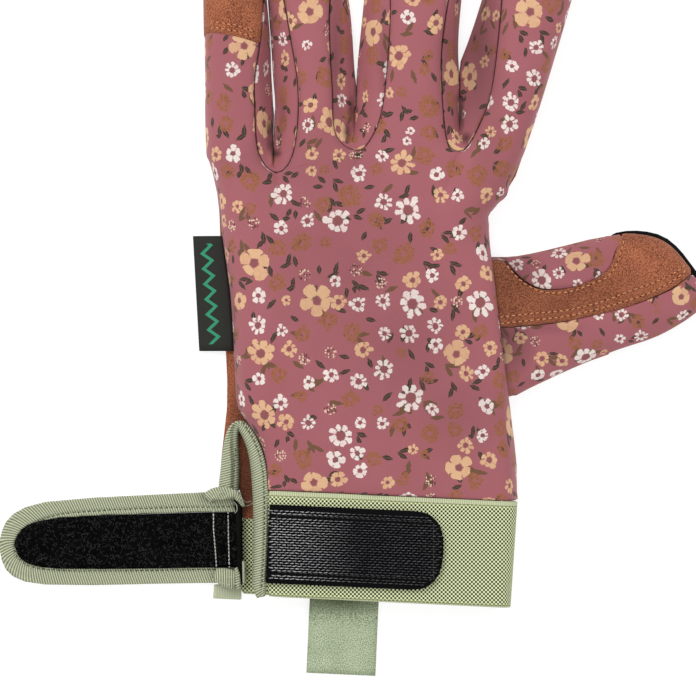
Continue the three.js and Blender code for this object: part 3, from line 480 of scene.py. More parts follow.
# The beds that leaves and flowers grow in: how far apart they stand, all in millimetres.
LEAF_BED = {"Spacing": 7.2, "Shift": (31.7, 12.4, 0), "Scatter": 0.8}
SMALL_BED = {"Spacing": 7.9, "Shift": (5.1, 3.3, 0), "Scatter": 0.66}
LARGE_BED = {"Spacing": 22, "Shift": (17.5, 9.2, 0), "Scatter": 0.75}
LEAVES = [
    {"luck": 0.82, "turn": 0, "aside": (0, 0, 0)},
    {"luck": 0.42, "turn": 0.14, "aside": (0.9, 1.9, 0)},
    {"luck": 0.16, "turn": 0.42, "aside": (-2.1, 0.6, 0)},
]
FADED_LUCK = 0, 0.36
DOTS_LUCK = 0.36, 0.43
LARGE_LUCK = 0.72
LARGE_CLEARING = 6.4
CROWD_REACH = 1.9
DOTS_PER_MM = 1.25
DOT_RADIUS = 0.62
# The painted flowers: the lucks they take in their bed, their radius, and their shape.
WHITE, CREAM = "white", "cream"
SMALL_FLOWERS = [
    {"luck": (0.43, 0.54), "petals": 6, "radius": (1.9, 3.4), "full": 0.86, "heart": 0.3, "ink": WHITE},
    {"luck": (0.54, 0.64), "petals": 8, "radius": (2.7, 4.3), "full": 0.84, "heart": 0.34, "ink": WHITE},
    {"luck": (0.64, 0.73), "petals": 5, "radius": (2.1, 3.6), "full": 0.9, "heart": 0.28, "ink": WHITE},
    {"luck": (0.73, 0.86), "petals": 6, "radius": (2.9, 4.4), "full": 0.93, "heart": 0.27, "ink": CREAM},
    {"luck": (0.86, 0.99), "petals": 7, "radius": (2.9, 4.4), "full": 0.9, "heart": 0.3, "ink": CREAM},
]
LARGE_FLOWERS = [
    {"luck": (0, 0.34), "petals": 5, "radius": (4.3, 5.8), "full": 0.96, "heart": 0.25, "ink": CREAM},
    {"luck": (0.34, 0.5), "petals": 8, "radius": (4.3, 5.4), "full": 0.9, "heart": 0.3, "ink": CREAM},
    {"luck": (0.5, 0.74), "petals": 8, "radius": (4.0, 5.0), "full": 0.86, "heart": 0.35, "ink": WHITE},
]


def printed_knit_material():
    """The knit with its print: leaves, faded brown blossoms, dots, white daisies, cream blossoms."""
    material, tree, shader = new_material("printed knit", 0.78, sheen=0.12, gloss=0.3)
    bed, flower, leaf = flower_bed_group(), flower_group(), leaf_group()
    place = cloth_place(tree)
    wobble = put(tree, "TexNoise", {"Vector": place, "Scale": 0.9, "Detail": 1.5}, "Color")
    hand = place.vector("ADD", wobble.vector("SUBTRACT", (0.5, 0.5, 0.5)).scaled(0.75))
    grit = speckle(place, 3.5)
    smear = speckle(place, 0.9, 3)
    pores = speckle(place, 1.3, 3)
    ragged = (speckle(place, 1.7) - 0.5) * 1.3

    colour = blend(speckle(place, 0.05), paint(164, 94, 100), paint(174, 104, 111))
    colour = blend(sharpen(grit, 0.42, 3) * 0.4, colour, paint(146, 79, 88))

    twigs = use(tree, bed, {"Place": hand, **LEAF_BED})
    dark = blend(sharpen(grit, 0.5, 5), paint(48, 38, 34), paint(86, 62, 50))
    dark = blend(twigs["Size"] > 0.72, dark, paint(116, 78, 54))
    for row in LEAVES:
        sprig = use(tree, leaf, {
            "Offset": twigs["Offset"], "Turn": twigs["Turn"] + row["turn"], "Aside": row["aside"],
            "Length": twigs["Size"] * 1.1 + 1.6,
        })
        veined = blend(sprig["Vein"] * 0.6, dark, paint(106, 90, 66))
        colour = blend(sprig["Leaf"] * (twigs["Luck"] < row["luck"]), colour, veined)

    bloom = use(tree, bed, {"Place": hand, **SMALL_BED})
    large = use(tree, bed, {"Place": hand, **LARGE_BED})
    near = use(tree, bed, {"Place": hand.vector("SUBTRACT", bloom["Offset"]), **LARGE_BED})
    clear = (near["Offset"].length() > LARGE_CLEARING).calc("MAXIMUM", near["Luck"] > LARGE_LUCK)

    def blossom(spots, radius, petals, full, heart):
        """A flower's shape at each spot of a bed."""
        shape = {name: spots[name] for name in ("Offset", "Room", "Turn", "Size")}
        shape.update({"Smallest": radius[0], "Largest": radius[1], "Petals": petals, "Fullness": full})
        return use(tree, flower, {**shape, "Heart": heart, "Ragged": ragged})

    faded = blossom(bloom, radius=(3.5, 5.2), petals=9, full=1.2, heart=0.2)["Petals"]
    faded = faded * between(bloom["Luck"], *FADED_LUCK) * clear * sharpen(smear * 0.5 + pores, 0.55, 5)
    faded_ink = blend(sharpen(pores, 0.52, 5), paint(160, 100, 66), paint(126, 70, 50))
    colour = blend(faded * 0.95, colour, faded_ink)

    spacing = {"Vector": place, "Scale": DOTS_PER_MM}
    dots = answers_of(tree, "TexVoronoi", spacing, voronoi_dimensions="2D")
    dot = sharpen(DOT_RADIUS - dots["Distance"], 0.2, 8)
    crowd = (bloom["Offset"].length() < CROWD_REACH) * between(bloom["Luck"], *DOTS_LUCK) * clear
    dot_luck, _, _ = split(dots["Color"])
    dot_ink = blend(dot_luck > 0.4, paint(92, 52, 48), paint(232, 204, 176))
    colour = blend(crowd * dot, colour, dot_ink)

    inks = {
        WHITE: (paint(242, 230, 222), paint(230, 204, 200)),
        CREAM: (paint(228, 184, 142), paint(214, 160, 126)),
    }
    small_rows = [(bloom, clear, row) for row in SMALL_FLOWERS]
    large_rows = [(large, 1, row) for row in LARGE_FLOWERS]
    for spots, free, row in small_rows + large_rows:
        shape = blossom(spots, row["radius"], row["petals"], row["full"], row["heart"])
        there = between(spots["Luck"], *row["luck"]) * free
        worn = smear * 0.7 + shape["Petal luck"] * 0.25
        petal_ink = blend(sharpen(worn, 0.42, 3), *inks[row["ink"]])
        colour = blend(shape["Petals"] * there, colour, petal_ink)
        colour = blend(shape["Heart"] * there, colour, paint(146, 84, 86))

    bands = {"Vector": place, "Scale": 0.62, "Distortion": 0.5, "Detail Scale": 3}
    rows = put(tree, "TexWave", bands, "Fac", wave_type="BANDS", bands_direction="DIAGONAL")
    # Painted shade: the print turns towards a dark plum tone where the corners store shade.
    colour = with_painted_shade(blend(rows * 0.1, colour, paint(110, 56, 60)), paint(64, 30, 36))
    finish(shader, colour, rows * 0.35 + grit * 0.8, strength=0.5, depth=0.09)
    return material


printed_knit = printed_knit_material()
back = cloth_from("back_panel", "back_of_hand")
fatten(back, 0.12 * MM)
crumple(back, 22 * MM, 0.55 * MM, seed=3.1)
crumple(back, 7 * MM, 0.12 * MM, seed=8.4)
nudge(back, HAND_CORNER, INDEX_HEEL)
# Painted shade on the back: a broad darker band down the middle of the hand, darker patches at the roots of
# the gaps, and washes along the finger edges.
BACK_PAINTED_SHADE = [
    ((320, 175), (80, 60), 0.14), ((350, 270), (90, 100), 0.17), ((405, 350), (80, 90), 0.19),
    ((455, 415), (50, 50), 0.2), ((484, 60), (24, 130), 0.26), ((262, 160), (30, 24), 0.2),
    ((352, 130), (34, 26), 0.12), ((230, 70), (24, 120), 0.06), ((440, 80), (14, 80), 0.08),
]
paint_fold_shade(back, *BACK_PAINTED_SHADE)
unroll(back)
fit(back, printed_knit, "printed_knit", "back_panel")

# Strips between the fingers.
# Each is a narrow strip of the same knit that runs down one finger's side, round the root of the
# gap, and up the next finger, sewn to the back panel above and to the palm below.
GAP_LINES = {
    "little_ring": [
        (262, -60), (263, 0), (263, 60), (262, 110), (264, 145), (275, 163), (286, 145), (287, 110),
        (285, 60), (278, 0), (275, -60),
    ],
    "ring_middle": [
        (341, -60), (341, 0), (341, 60), (340, 110), (346, 138), (356, 143), (368, 130), (372, 90),
        (374, 50), (372, 0), (372, -60),
    ],
    "middle_index": [
        (458, -60), (455, 0), (451, 40), (450, 80), (452, 112), (457, 138), (463, 145), (468, 138),
        (469, 112), (469, 80), (473, 40), (485, 0), (510, -60),
    ],
}
# Painted shade in each gap: dark crease shading down to the gap's root, and a broad darker wash on the
# strip's shaded side.
GAP_PAINTED_SHADE = {
    "little_ring": [
        ((272, 114), (3, 12), 0.9), ((269, 128), (3.5, 14), 0.95), ((270, 144), (4, 12), 1),
        ((275, 153), (8, 5), 0.95), ((283, 115), (5, 26), 0.3), ((262, 70), (9, 110), 0.22),
    ],
    "ring_middle": [
        ((356, 88), (4, 14), 0.9), ((351, 108), (4, 16), 0.7), ((347, 132), (5, 12), 0.9),
        ((335, 60), (9, 90), 0.46), ((384, 60), (7, 60), 0.3), ((340, 118), (5, 22), 0.25),
    ],
    "middle_index": [
        ((460, 80), (3, 22), 0.8), ((462, 112), (3.5, 24), 0.95), ((466, 138), (8, 8), 0.9),
        ((480, 46), (28, 110), 0.62), ((482, 112), (5, 24), 0.3), ((445, 60), (7, 90), 0.25),
    ],
}
GAP_CREASES = {
    "little_ring": [(274.2, 104), (273.5, 127), (272.4, 146), (272.4, 162)],
    "ring_middle": [(356, 74), (356.6, 84), (357, 96), (357, 104)],
    "middle_index": [(459.6, 60), (459.6, 70), (459.6, 82), (459.6, 90)],
}
CREASE_REACH = 4.5 * PIXEL
CREASE_START = 10 * PIXEL
CREASE_PAST = 4 * PIXEL
CREASE_PULL = 0.9


def photo_line(spots):
    return [photo_place(*spot) for spot in spots]


def smooth_line(line, parts=6):
    """A line through the same places with its corners eased, as a spline."""
    places = [2 * line[0] - line[1], *line, 2 * line[-1] - line[-2]]
    eased = []
    for before, start, end, after in zip(places, places[1:], places[2:], places[3:]):
        for part in range(parts):
            t = part / parts
            pull = (end - before) * t + (2 * before - 5 * start + 4 * end - after) * t ** 2
            eased.append(start + 0.5 * (pull + (3 * start - before - 3 * end + after) * t ** 3))
    return [*eased, line[-1]]


def lay_along(piece, line, shift=(0, 0), fall=0):
    """Maps a narrow piece by how far along a line a corner is, and how far to its left.

    A fall of 1 adds the depth below the piece's top to the second number.
    """
    points = np.array([(point.x, point.y) for point in line])
    steps = np.diff(points, axis=0)
    lengths = np.hypot(steps[:, 0], steps[:, 1])
    starts = np.concatenate([[0], np.cumsum(lengths)])
    corners = np.array([corner.co for corner in piece.data.vertices])
    nearest = np.full(len(corners), 1e9)
    spots = np.zeros((len(corners), 2))
    for number, (step, length) in enumerate(zip(steps, lengths)):
        way = step / length
        offset = corners[:, :2] - points[number]
        reach = np.clip(offset @ way, 0, length)
        distance = np.hypot(*(offset - reach[:, None] * way).T)
        nearer = distance < nearest
        nearest[nearer] = distance[nearer]
        spots[nearer, 0] = starts[number] + reach[nearer]
        spots[nearer, 1] = (offset @ np.array([-way[1], way[0]]))[nearer]
    spots[:, 1] += fall * (corners[:, 2].max() - corners[:, 2])
    give_map(piece, spots + np.array(shift))
    return spots


def pinch(piece, line):
    """Closes a gap below the first point of a line: draws both its walls in to the line."""
    points = photo_line(line)
    downs = [-point.y for point in points]
    for corner in piece.data.vertices:
        middle = np.interp(-corner.co.y, downs, [point.x for point in points])
        off = corner.co.x - middle
        started = min(max((points[0].y - corner.co.y) / CREASE_START, 0), 1)
        if abs(off) < CREASE_REACH and corner.co.y > points[-1].y - CREASE_PAST:
            near = 1 - (abs(off) / CREASE_REACH) ** 2
            corner.co.x -= off * started * near ** 0.5 * CREASE_PULL


for number, (gap, spots) in enumerate(GAP_LINES.items()):
    strip = cloth_from("fourchette_" + gap, "finger_gap_" + gap)
    paint_fold_shade(strip, *GAP_PAINTED_SHADE[gap])
    pinch(strip, GAP_CREASES[gap])
    line = smooth_line(photo_line(spots))
    lay_along(strip, line, shift=(0.061 * (number + 1), 0.043), fall=1)
    fit(strip, printed_knit, "printed_knit", "fourchette_" + gap)

# Printed pieces of the thumb.
# An inset fills the curved cut-out of the suede at the thumb's root, and a strip runs along
# the thumb's lower side to its tip.
INSET_TIP = (617, 240), (9, 11), (1.5, 0.2, 0)
INSET_BEND = (608, 266), (12, 12), (0.5, -0.4, 0)
# Painted shade on the inset: darker at the thumb's root under the hand's edge and along its lower seam, with
# a light wash over the rest.
INSET_PAINTED_SHADE = ((508, 276), (46, 34), 0.6), ((560, 292), (60, 11), 0.35), ((560, 262), (90, 50), 0.14)
LOWER_TIP = (684, 286), (14, 12), (0, 0.4, 0.3)
# Painted shade on the lower strip: darker at the thumb's root and along its upper seam.
LOWER_PAINTED_SHADE = ((503, 340), (36, 44), 0.7), ((540, 328), (50, 8), 0.3)
inset = cloth_from("thumb_floral_inset", "thumb_inset")
fatten(inset, 0.15 * MM)
unroll(inset, shift=(0.17, -0.02), scale=1.2)
nudge(inset, INSET_TIP, INSET_BEND)
paint_fold_shade(inset, *INSET_PAINTED_SHADE)
fit(inset, printed_knit, "printed_knit", "thumb_floral_inset")
lower_side = cloth_from("thumb_floral_edge", "thumb_lower_side")
fatten(lower_side, 0.15 * MM)
unroll(lower_side, shift=(0.02, 0.09), scale=1.2)
nudge(lower_side, LOWER_TIP)
paint_fold_shade(lower_side, *LOWER_PAINTED_SHADE)
fit(lower_side, printed_knit, "printed_knit", "thumb_floral_edge")

# Suede palm, fingertip caps and thumb.
# Soft brown synthetic suede with a short nap. The caps and the thumb's top are sewn over the
# knit's edges, and the palm is one flat piece under the hand and all the fingers.
PALM_SIDE = (242, 500), (10, 44), (-0.9, 0, 0)
PALM_LOW_CORNER = (249, 517), (16, 7), (0, -1, 0)
PALM_INDEX_HEEL = (510, 188), (20, 24), (-0.5, 0.2, 0)
# Painted shadow on the palm inside the vent, deepest along its left side under the tape.
PALM_PAINTED_SHADOW = ((238, 470), (9, 60), 0.85), ((250, 470), (8, 60), 0.3)
GUARD_ENDS = ((610, 240), (8, 12), (0.7, 0, 0)), ((609, 357), (8, 12), (0.7, 0, 0))
# Painted shade on the suede over the thumb: darker at its root and towards its lower edge.
THUMB_PAINTED_SHADE = ((498, 285), (70, 80), 0.45), ((560, 306), (120, 60), 0.28)
# The near black that painted shade turns the suede to.
SHADE_BROWN = 0.01, 0.004, 0.003, 1


def object_place(tree):
    """Where a point is on the glove, in millimetres."""
    return put(tree, "TexCoord", output="Object").scaled(1 / MM)


def nap_group():
    """Short brushed fibres: a mask of lighter and darker tufts, and their height."""
    sockets = {"Place": "Vector", "Tuft size": "Float", "Blotch": "Float"}
    tree, given, answer = group_of("brushed nap", sockets, {"Tufts": "Float", "Height": "Float"})
    fine = speckle(given["Place"], 1 / given["Tuft size"], 4, 0.7)
    wide = speckle(given["Place"], 0.12, 2, 0.5)
    fill(answer, {"Tufts": (wide - fine) * given["Blotch"] + fine, "Height": fine})
    return tree


brushed_nap = nap_group()


def suede_material(
    name, dark, light, tuft, rough=0.95, sheen=0.25, contrast=4.2, gloss=0.2, blotch=0.3, shade_tone=SHADE_BROWN,
):
    """Napped cloth between a dark and a light tone of its colour, with painted shade turning it towards its
    shade tone.
    """
    material, tree, shader = new_material(name, rough, sheen=sheen, gloss=gloss)
    nap = use(tree, brushed_nap, {"Place": object_place(tree), "Tuft size": tuft, "Blotch": blotch})
    share = ((nap["Tufts"] - 0.5) * contrast + 0.5).clamp()
    colour = with_painted_shade(blend(share, dark, light), shade_tone)
    finish(shader, colour, nap["Height"], strength=0.7, depth=0.12)
    return material


brown_suede = suede_material(
    "brown suede", paint(108, 56, 38), paint(192, 118, 84), 0.42, sheen=0.08, contrast=5.4, blotch=0.15,
)


def plate_from(node, name, width=0.45 * MM):
    """A copy of a fixed flat piece, with its faces whole again and its edges rounded over."""
    piece = opened_copy(node, name)
    bpy.ops.mesh.dissolve_limited(angle_limit=math.radians(1))
    bpy.ops.object.mode_set(mode="OBJECT")
    shape_by(piece, "BEVEL", width=width, segments=3, limit_method="ANGLE", angle_limit=SHARP)
    bpy.ops.object.shade_smooth_by_angle(angle=math.radians(40))
    return piece


palm = plate_from("palm_panel", "suede_palm")
nudge(palm, PALM_SIDE, PALM_LOW_CORNER, PALM_INDEX_HEEL, HAND_CORNER)
paint_fold_shade(palm, *PALM_PAINTED_SHADOW)
fit(palm, brown_suede, "brown_suede", "palm_panel")
thumb_under = plate_from("thumb_palm", "suede_under_thumb")
nudge(thumb_under, *GUARD_ENDS)
fit(thumb_under, brown_suede, "brown_suede", "thumb_palm")
caps = {}
for finger in ("little", "ring", "middle", "index"):
    caps[finger] = cloth_from("fingertip_cap_" + finger, "suede_tip_" + finger)
    fatten(caps[finger], 0.35 * MM)
    fit(caps[finger], brown_suede, "brown_suede", "fingertip_cap_" + finger)
thumb_top = cloth_from("thumb_back_suede", "suede_over_thumb")
fatten(thumb_top, 0.5 * MM)
paint_fold_shade(thumb_top, *THUMB_PAINTED_SHADE)
fit(thumb_top, brown_suede, "brown_suede", "thumb_back_suede")

# Seams of the caps and the thumb.
# Tan thread in a plain running stitch holds the suede's edges down: two rows on each cap, one
# row round the thumb's cut-out, and two rows along its lower edge.
STITCH_LONG = 4.6 * PIXEL
STITCH_THICK = 0.75 * PIXEL
CAP_STITCH_PITCH = 5.8 * PIXEL
THUMB_STITCH_PITCH = 6 * PIXEL
PLUMB_TOP = 50 * MM


def pattern_of(name, add, **settings):
    """A pattern for many small copies: a form of a few faces, one metre in radius."""
    bpy.ops.object.select_all(action="DESELECT")
    add(**settings)
    pattern = bpy.context.object
    pattern.name = name
    bpy.ops.object.shade_smooth()
    return pattern


def copies_of(pattern, name, places):
    """One piece joined from many copies of a small pattern, one for each matrix in places."""
    copies = []
    for place in places:
        copy = bpy.data.objects.new(name, pattern.data.copy())
        copy.data.transform(place)
        scene.collection.objects.link(copy)
        copies.append(copy)
    bpy.ops.object.select_all(action="DESELECT")
    for copy in copies:
        copy.select_set(True)
    bpy.context.view_layer.objects.active = copies[0]
    bpy.ops.object.join()
    return bpy.context.object


def steps_along(line, pitch, first=0.5):
    """Places at an even pitch along a line, each with the line's way there."""
    found = []
    left = pitch * first
    for start, end in zip(line, line[1:]):
        way = (end - start).normalized()
        length = (end - start).length
        while left < length:
            found.append((start + way * left, way))
            left += pitch
        left -= length
    return found


def surface_of(*pieces):
    """The pieces' faces as one tree that a ray can be cast at."""
    corners = []
    faces = []
    for piece in pieces:
        first = len(corners)
        corners.extend(corner.co.copy() for corner in piece.data.vertices)
        faces.extend([first + index for index in face.vertices] for face in piece.data.polygons)
    return BVHTree.FromPolygons(corners, faces)


def drop_onto(surface, spot):
    """Where a plumb line through a spot meets the surface, and the surface's way there."""
    return surface.ray_cast(Vector((spot.x, spot.y, PLUMB_TOP)), Vector((0, 0, -1)))[:2]


def stitch_places(
    line, surface, pitch, long=STITCH_LONG, thick=STITCH_THICK, lift=0.35, chance=None, first=0.5,
):
    """A matrix for each stitch of a row: laid along the line on the face below it."""
    places = []
    for spot, way in steps_along(line, pitch, first):
        hit, normal = drop_onto(surface, spot)
        if hit is None:
            continue
        if chance is not None:
            way = (way + Vector((chance.uniform(-0.2, 0.2), chance.uniform(-0.2, 0.2), 0))).normalized()
        flat = (way - normal * way.dot(normal)).normalized()
        aside = normal.cross(flat)
        turn = Matrix((flat, aside, normal)).transposed().to_4x4()
        size = Matrix.Diagonal((long / 2, thick, thick, 1))
        places.append(Matrix.Translation(hit + normal * thick * lift) @ turn @ size)
    return places


def thread_material(name, dark, light):
    """Twisted sewing thread."""
    material, tree, shader = new_material(name, 0.6, sheen=0.1)
    finish(shader, blend(sharpen(speckle(object_place(tree), 3), 0.35, 3), dark, light))
    return material


bead = pattern_of("bead", bpy.ops.mesh.primitive_uv_sphere_add, segments=6, ring_count=4, radius=1)
tan_thread = thread_material("tan thread", paint(184, 112, 70), paint(228, 158, 106))
# Dark beads sunk between the stitches stand for the shade in the needle holes: painted shade.
hole_shade_material = thread_material("needle holes", paint(52, 22, 14), paint(84, 40, 28))
luck = random.Random(7)


def lower_line(piece, columns=14, inset=2.2 * MM, reach=0.6 * MM):
    """The lower edge of a fingertip cap, from side to side, as a line of places."""
    corners = [corner.co for corner in piece.data.vertices]
    left = min(corner.x for corner in corners) + inset
    right = max(corner.x for corner in corners) - inset
    line = []
    for number in range(columns + 1):
        column = left + (right - left) * number / columns
        near = [corner.y for corner in corners if abs(corner.x - column) < reach]
        line.append(Vector((column, min(near), 0)))
    return line


HOLE_SHADE_BEAD = {"long": 2.2 * PIXEL, "thick": 0.8 * PIXEL, "lift": -0.35}


def sew(name, rows, surface, pitch, material, slot, **stitch):
    """Sews rows of stitches on a surface, all joined as one piece."""
    places = []
    for row in rows:
        places += stitch_places(row, surface, pitch, **stitch)
    fit(copies_of(bead, name, places), material, slot)


def sew_suede(name, rows, piece, pitch):
    """Tan stitches in a suede piece, with a dark sunk bead as painted shade in the needle hole between each
    two.
    """
    surface = surface_of(piece)
    sew(name.format("stitches"), rows, surface, pitch, tan_thread, "brown_suede", chance=luck)
    sew(name.format("needle_hole_shade"), rows, surface, pitch, hole_shade_material, "brown_suede", first=1, **HOLE_SHADE_BEAD)


CAP_ROW_RISES = 5.2 * PIXEL, 11 * PIXEL
for finger, cap in caps.items():
    edge = lower_line(cap)
    rows = [[spot + Vector((0, rise, 0)) for spot in edge] for rise in CAP_ROW_RISES]
    sew_suede("cap_{}_" + finger, rows, cap, CAP_STITCH_PITCH)

THUMB_ROWS = [
    [
        (504, 259.4), (509.6, 269), (517.9, 278), (526.8, 285), (539.2, 291), (551.6, 293), (565.4, 292.3),
        (579.2, 289), (593, 283.5), (604, 279), (611, 273.2), (616.4, 265), (620.5, 254), (623.3, 245.7),
        (625, 238),
    ],
    [
        (498.6, 317.3), (535, 313.2), (568, 310), (604, 301), (624.6, 293), (645.3, 285.8), (663.2, 278.7),
        (677, 271.5), (684.5, 266),
    ],
    [
        (499.3, 323.8), (535, 320), (568, 316), (590.2, 311), (610.9, 305.6), (631.5, 299.2), (652.2, 291.8),
        (668.7, 283.2), (679.7, 276), (686.5, 270),
    ],
]
sew_suede("thumb_{}", [smooth_line(photo_line(row)) for row in THUMB_ROWS], thumb_top, THUMB_STITCH_PITCH)

# Guard under the thumb's tip.
# A stiff black patch that takes the wear, and stands a little proud along the thumb's top edge.
black_guard = suede_material(
    "black guard", paint(8, 8, 9), paint(28, 28, 29), 0.3, rough=0.8, sheen=0, gloss=0.08,
)
guard = plate_from("thumb_tip_guard", "guard_under_thumb")
fit(guard, black_guard, "black_guard", "thumb_tip_guard")

# Elastic cuff.
# A wide green elastic band with an open mesh of small dark holes, hemmed along both edges,
# sewn to the back panel and folded round the wrist.
CUFF_VENT_END = (242, 555), (9, 62), (-0.9, 0, 0)
MESH_PITCH = 1.26
HEM = 1
HEM_FURROW = 1.35
MESH_FROM = 1.7
TRIM_PITCH = 0.7


def wave(value, pitch, kind="COSINE"):
    """A wave from -1 to 1 over a distance."""
    return (value * (math.tau / pitch)).calc(kind)


def elastic_material():
    """Green elastic: a lattice of dark holes between plump threads, ribbed along the hems. The holes' near
    black is painted shade seen through them, the threads are painted lighter on their crests and darker
    towards the holes, and the furrow inside each hem is painted dark as shade.
    """
    material, tree, shader = new_material("green elastic mesh", 0.85, gloss=0.2)
    x, y, _ = split(cloth_place(tree))
    lattice = wave(x, MESH_PITCH) * wave(y, MESH_PITCH)
    from_edge = put(tree, "Attribute", output="Fac", attribute_name="from_edge")
    hole = sharpen(lattice, 0.12, 5) * (from_edge > MESH_FROM)
    thread_light_and_shade = blend((lattice * -0.8 + 0.35).clamp(), paint(136, 146, 92), paint(246, 252, 206))
    trim = blend(wave(x, TRIM_PITCH) * 0.5 + 0.5, paint(168, 176, 136), paint(212, 216, 180))
    furrow_shade = between(from_edge, HEM, HEM_FURROW) * 0.5
    plain = blend(furrow_shade, blend(from_edge < HEM, thread_light_and_shade, trim), paint(50, 56, 30))
    finish(shader, blend(hole, plain, paint(14, 18, 4)), hole * -1, depth=0.25)
    return material


cuff = cloth_from("cuff_band", "elastic_cuff")
nudge(cuff, CUFF_VENT_END)
low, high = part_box("cuff_band")
roll = (high.z - low.z) / 2
axis_x = high.x - roll
around = np.zeros((len(cuff.data.vertices), 2))
for corner in cuff.data.vertices:
    past, up = corner.co.x - axis_x, corner.co.z - low.z - roll
    if past > 0:
        along = axis_x + roll * math.atan2(past, up)
    else:
        along = corner.co.x if up > 0 else axis_x + math.pi * roll - past
    around[corner.index] = along, corner.co.y
give_map(cuff, around)
CUFF_TOP_LEFT = -43.9 * MM
CUFF_SLOPE = -3.6 / 78.3
CUFF_LENGTH = 33.2 * MM
CUFF_EASE = 0.2 * MM
from_edges = []
for corner in cuff.data.vertices:
    top = CUFF_TOP_LEFT + CUFF_SLOPE * (corner.co.x - low.x)
    from_edges.append(min(top - corner.co.y, corner.co.y - top + CUFF_LENGTH + CUFF_EASE) / MM)
store(cuff, "from_edge", from_edges)
fit(cuff, elastic_material(), "green_mesh", "cuff_band")

# Ribbed binding tape round the vent and the strap.
# A woven sage green tape with raised ribs across it, folded over the raw edges and sewn down.
RIB_PITCH = 0.78
THREAD_PITCH = 0.34


def ribbed_material(name, valley_shade, ridge_light, slant):
    """Ribs across a tape, a little slanted, with small breaks between the threads. The colour is painted
    darker in the rib valleys and lighter on the ridges, as shade and light that follow the ribs, and turns
    to a dark shade tone where painted shade is stored.
    """
    material, tree, shader = new_material(name, 0.75, sheen=0.1, gloss=0.3)
    place = cloth_place(tree)
    x, y, _ = split(place)
    rib = wave(y * slant + x, RIB_PITCH, "SINE") * 0.5 + 0.5
    colour = blend((speckle(place, 2.5) * 0.4 + rib * 0.75).clamp(), valley_shade, ridge_light)
    height = wave(y, THREAD_PITCH, "SINE") * 0.05 + rib
    finish(shader, with_painted_shade(colour, paint(70, 76, 50)), height, depth=0.22)
    return material


ribbed_tape = ribbed_material("ribbed green tape", paint(56, 62, 34), paint(212, 218, 184), 0.35)


def rolled_from(node, name, voxel=0.4 * MM, passes=4):
    """A copy of a fixed flat piece, cast again in an even fine mesh and worn round like rolled tape."""
    piece = opened_copy(node, name)
    bpy.ops.object.mode_set(mode="OBJECT")
    shape_by(piece, "REMESH", mode="VOXEL", voxel_size=voxel)
    shape_by(piece, "SMOOTH", factor=0.5, iterations=passes)
    bpy.ops.object.shade_smooth()
    return piece


def stations_of(*rows):
    """Stations along a tape: a place of the photo, the width in pixels, the top in millimetres."""
    return [dict(zip(("at", "width", "top"), row)) for row in rows]


def line_of(stations):
    return photo_line([station["at"] for station in stations])


def way_at(line, number):
    """The way of a line at one of its places."""
    return (line[min(number + 1, len(line) - 1)] - line[max(number - 1, 0)]).normalized()


def tape_over(name, stations, fold=2.6 * MM, rounds=3, wall=0.8 * MM):
    """A length of tape folded over an edge: a long sheet whose two sides turn down."""
    last = len(stations) - 1
    centres = line_of(stations)
    bpy.ops.object.select_all(action="DESELECT")
    bpy.ops.mesh.primitive_grid_add(x_subdivisions=last, y_subdivisions=10, size=2)
    piece = bpy.context.object
    piece.name = name
    for corner in piece.data.vertices:
        number = round((corner.co.x + 1) / 2 * last)
        way = way_at(centres, number)
        turn = math.pi * (1 - corner.co.y) / 2
        aside = 0.5 * stations[number]["width"] * PIXEL * math.cos(turn)
        down = fold * (1 - max(math.sin(turn), 0) ** 0.6)
        up = stations[number]["top"] * MM - down
        corner.co = centres[number] + Vector((-way.y * aside, way.x * aside, up))
    shape_by(piece, "SUBSURF", levels=rounds, render_levels=rounds)
    shape_by(piece, "SOLIDIFY", thickness=wall, offset=-1)
    bpy.ops.object.shade_smooth()
    return piece


def press(piece, depths):
    """Presses each corner of a piece's upper face down by its own depth."""
    ways = [max(corner.normal.z, 0) for corner in piece.data.vertices]
    for corner, way, depth in zip(piece.data.vertices, ways, depths):
        corner.co.z -= way * depth


def groove(sides, middle, depth=0.45 * MM, width=0.32 * MM):
    """The depth of a sewn groove at each distance to the side of a tape's line."""
    return depth * np.exp(-((sides - middle) / width) ** 2)


def fade(distances, width):
    """1 well below a distance of 0, falling softly to 0 above it."""
    return 1 / (1 + np.exp(distances / width))


# The line along the strap's binding, from the root's top corner round its end to the low corner.
STRAP_LINE = smooth_line(photo_line([
    (246, 502), (204, 503), (153, 504), (92, 507), (60, 510), (36, 517), (18, 528), (9, 541), (8, 552),
    (12, 562), (24, 571), (40, 575), (77, 577), (153, 576.5), (246, 575),
]))
STRAP_GROOVE = 1.55 * MM
# Painted shade on the strap's binding next to the bunched tape at its root.
STRAP_PAINTED_SHADE = ((206, 496), (12, 12), 0.3), ((238, 500), (10, 16), 0.6)
strap_edge = rolled_from("strap_binding", "strap_edge_tape")
spots = lay_along(strap_edge, STRAP_LINE)
press(strap_edge, groove(spots[:, 1], STRAP_GROOVE, depth=0.6 * MM))
paint_fold_shade(strap_edge, *STRAP_PAINTED_SHADE)
fit(strap_edge, ribbed_tape, "green_tape", "strap_binding")

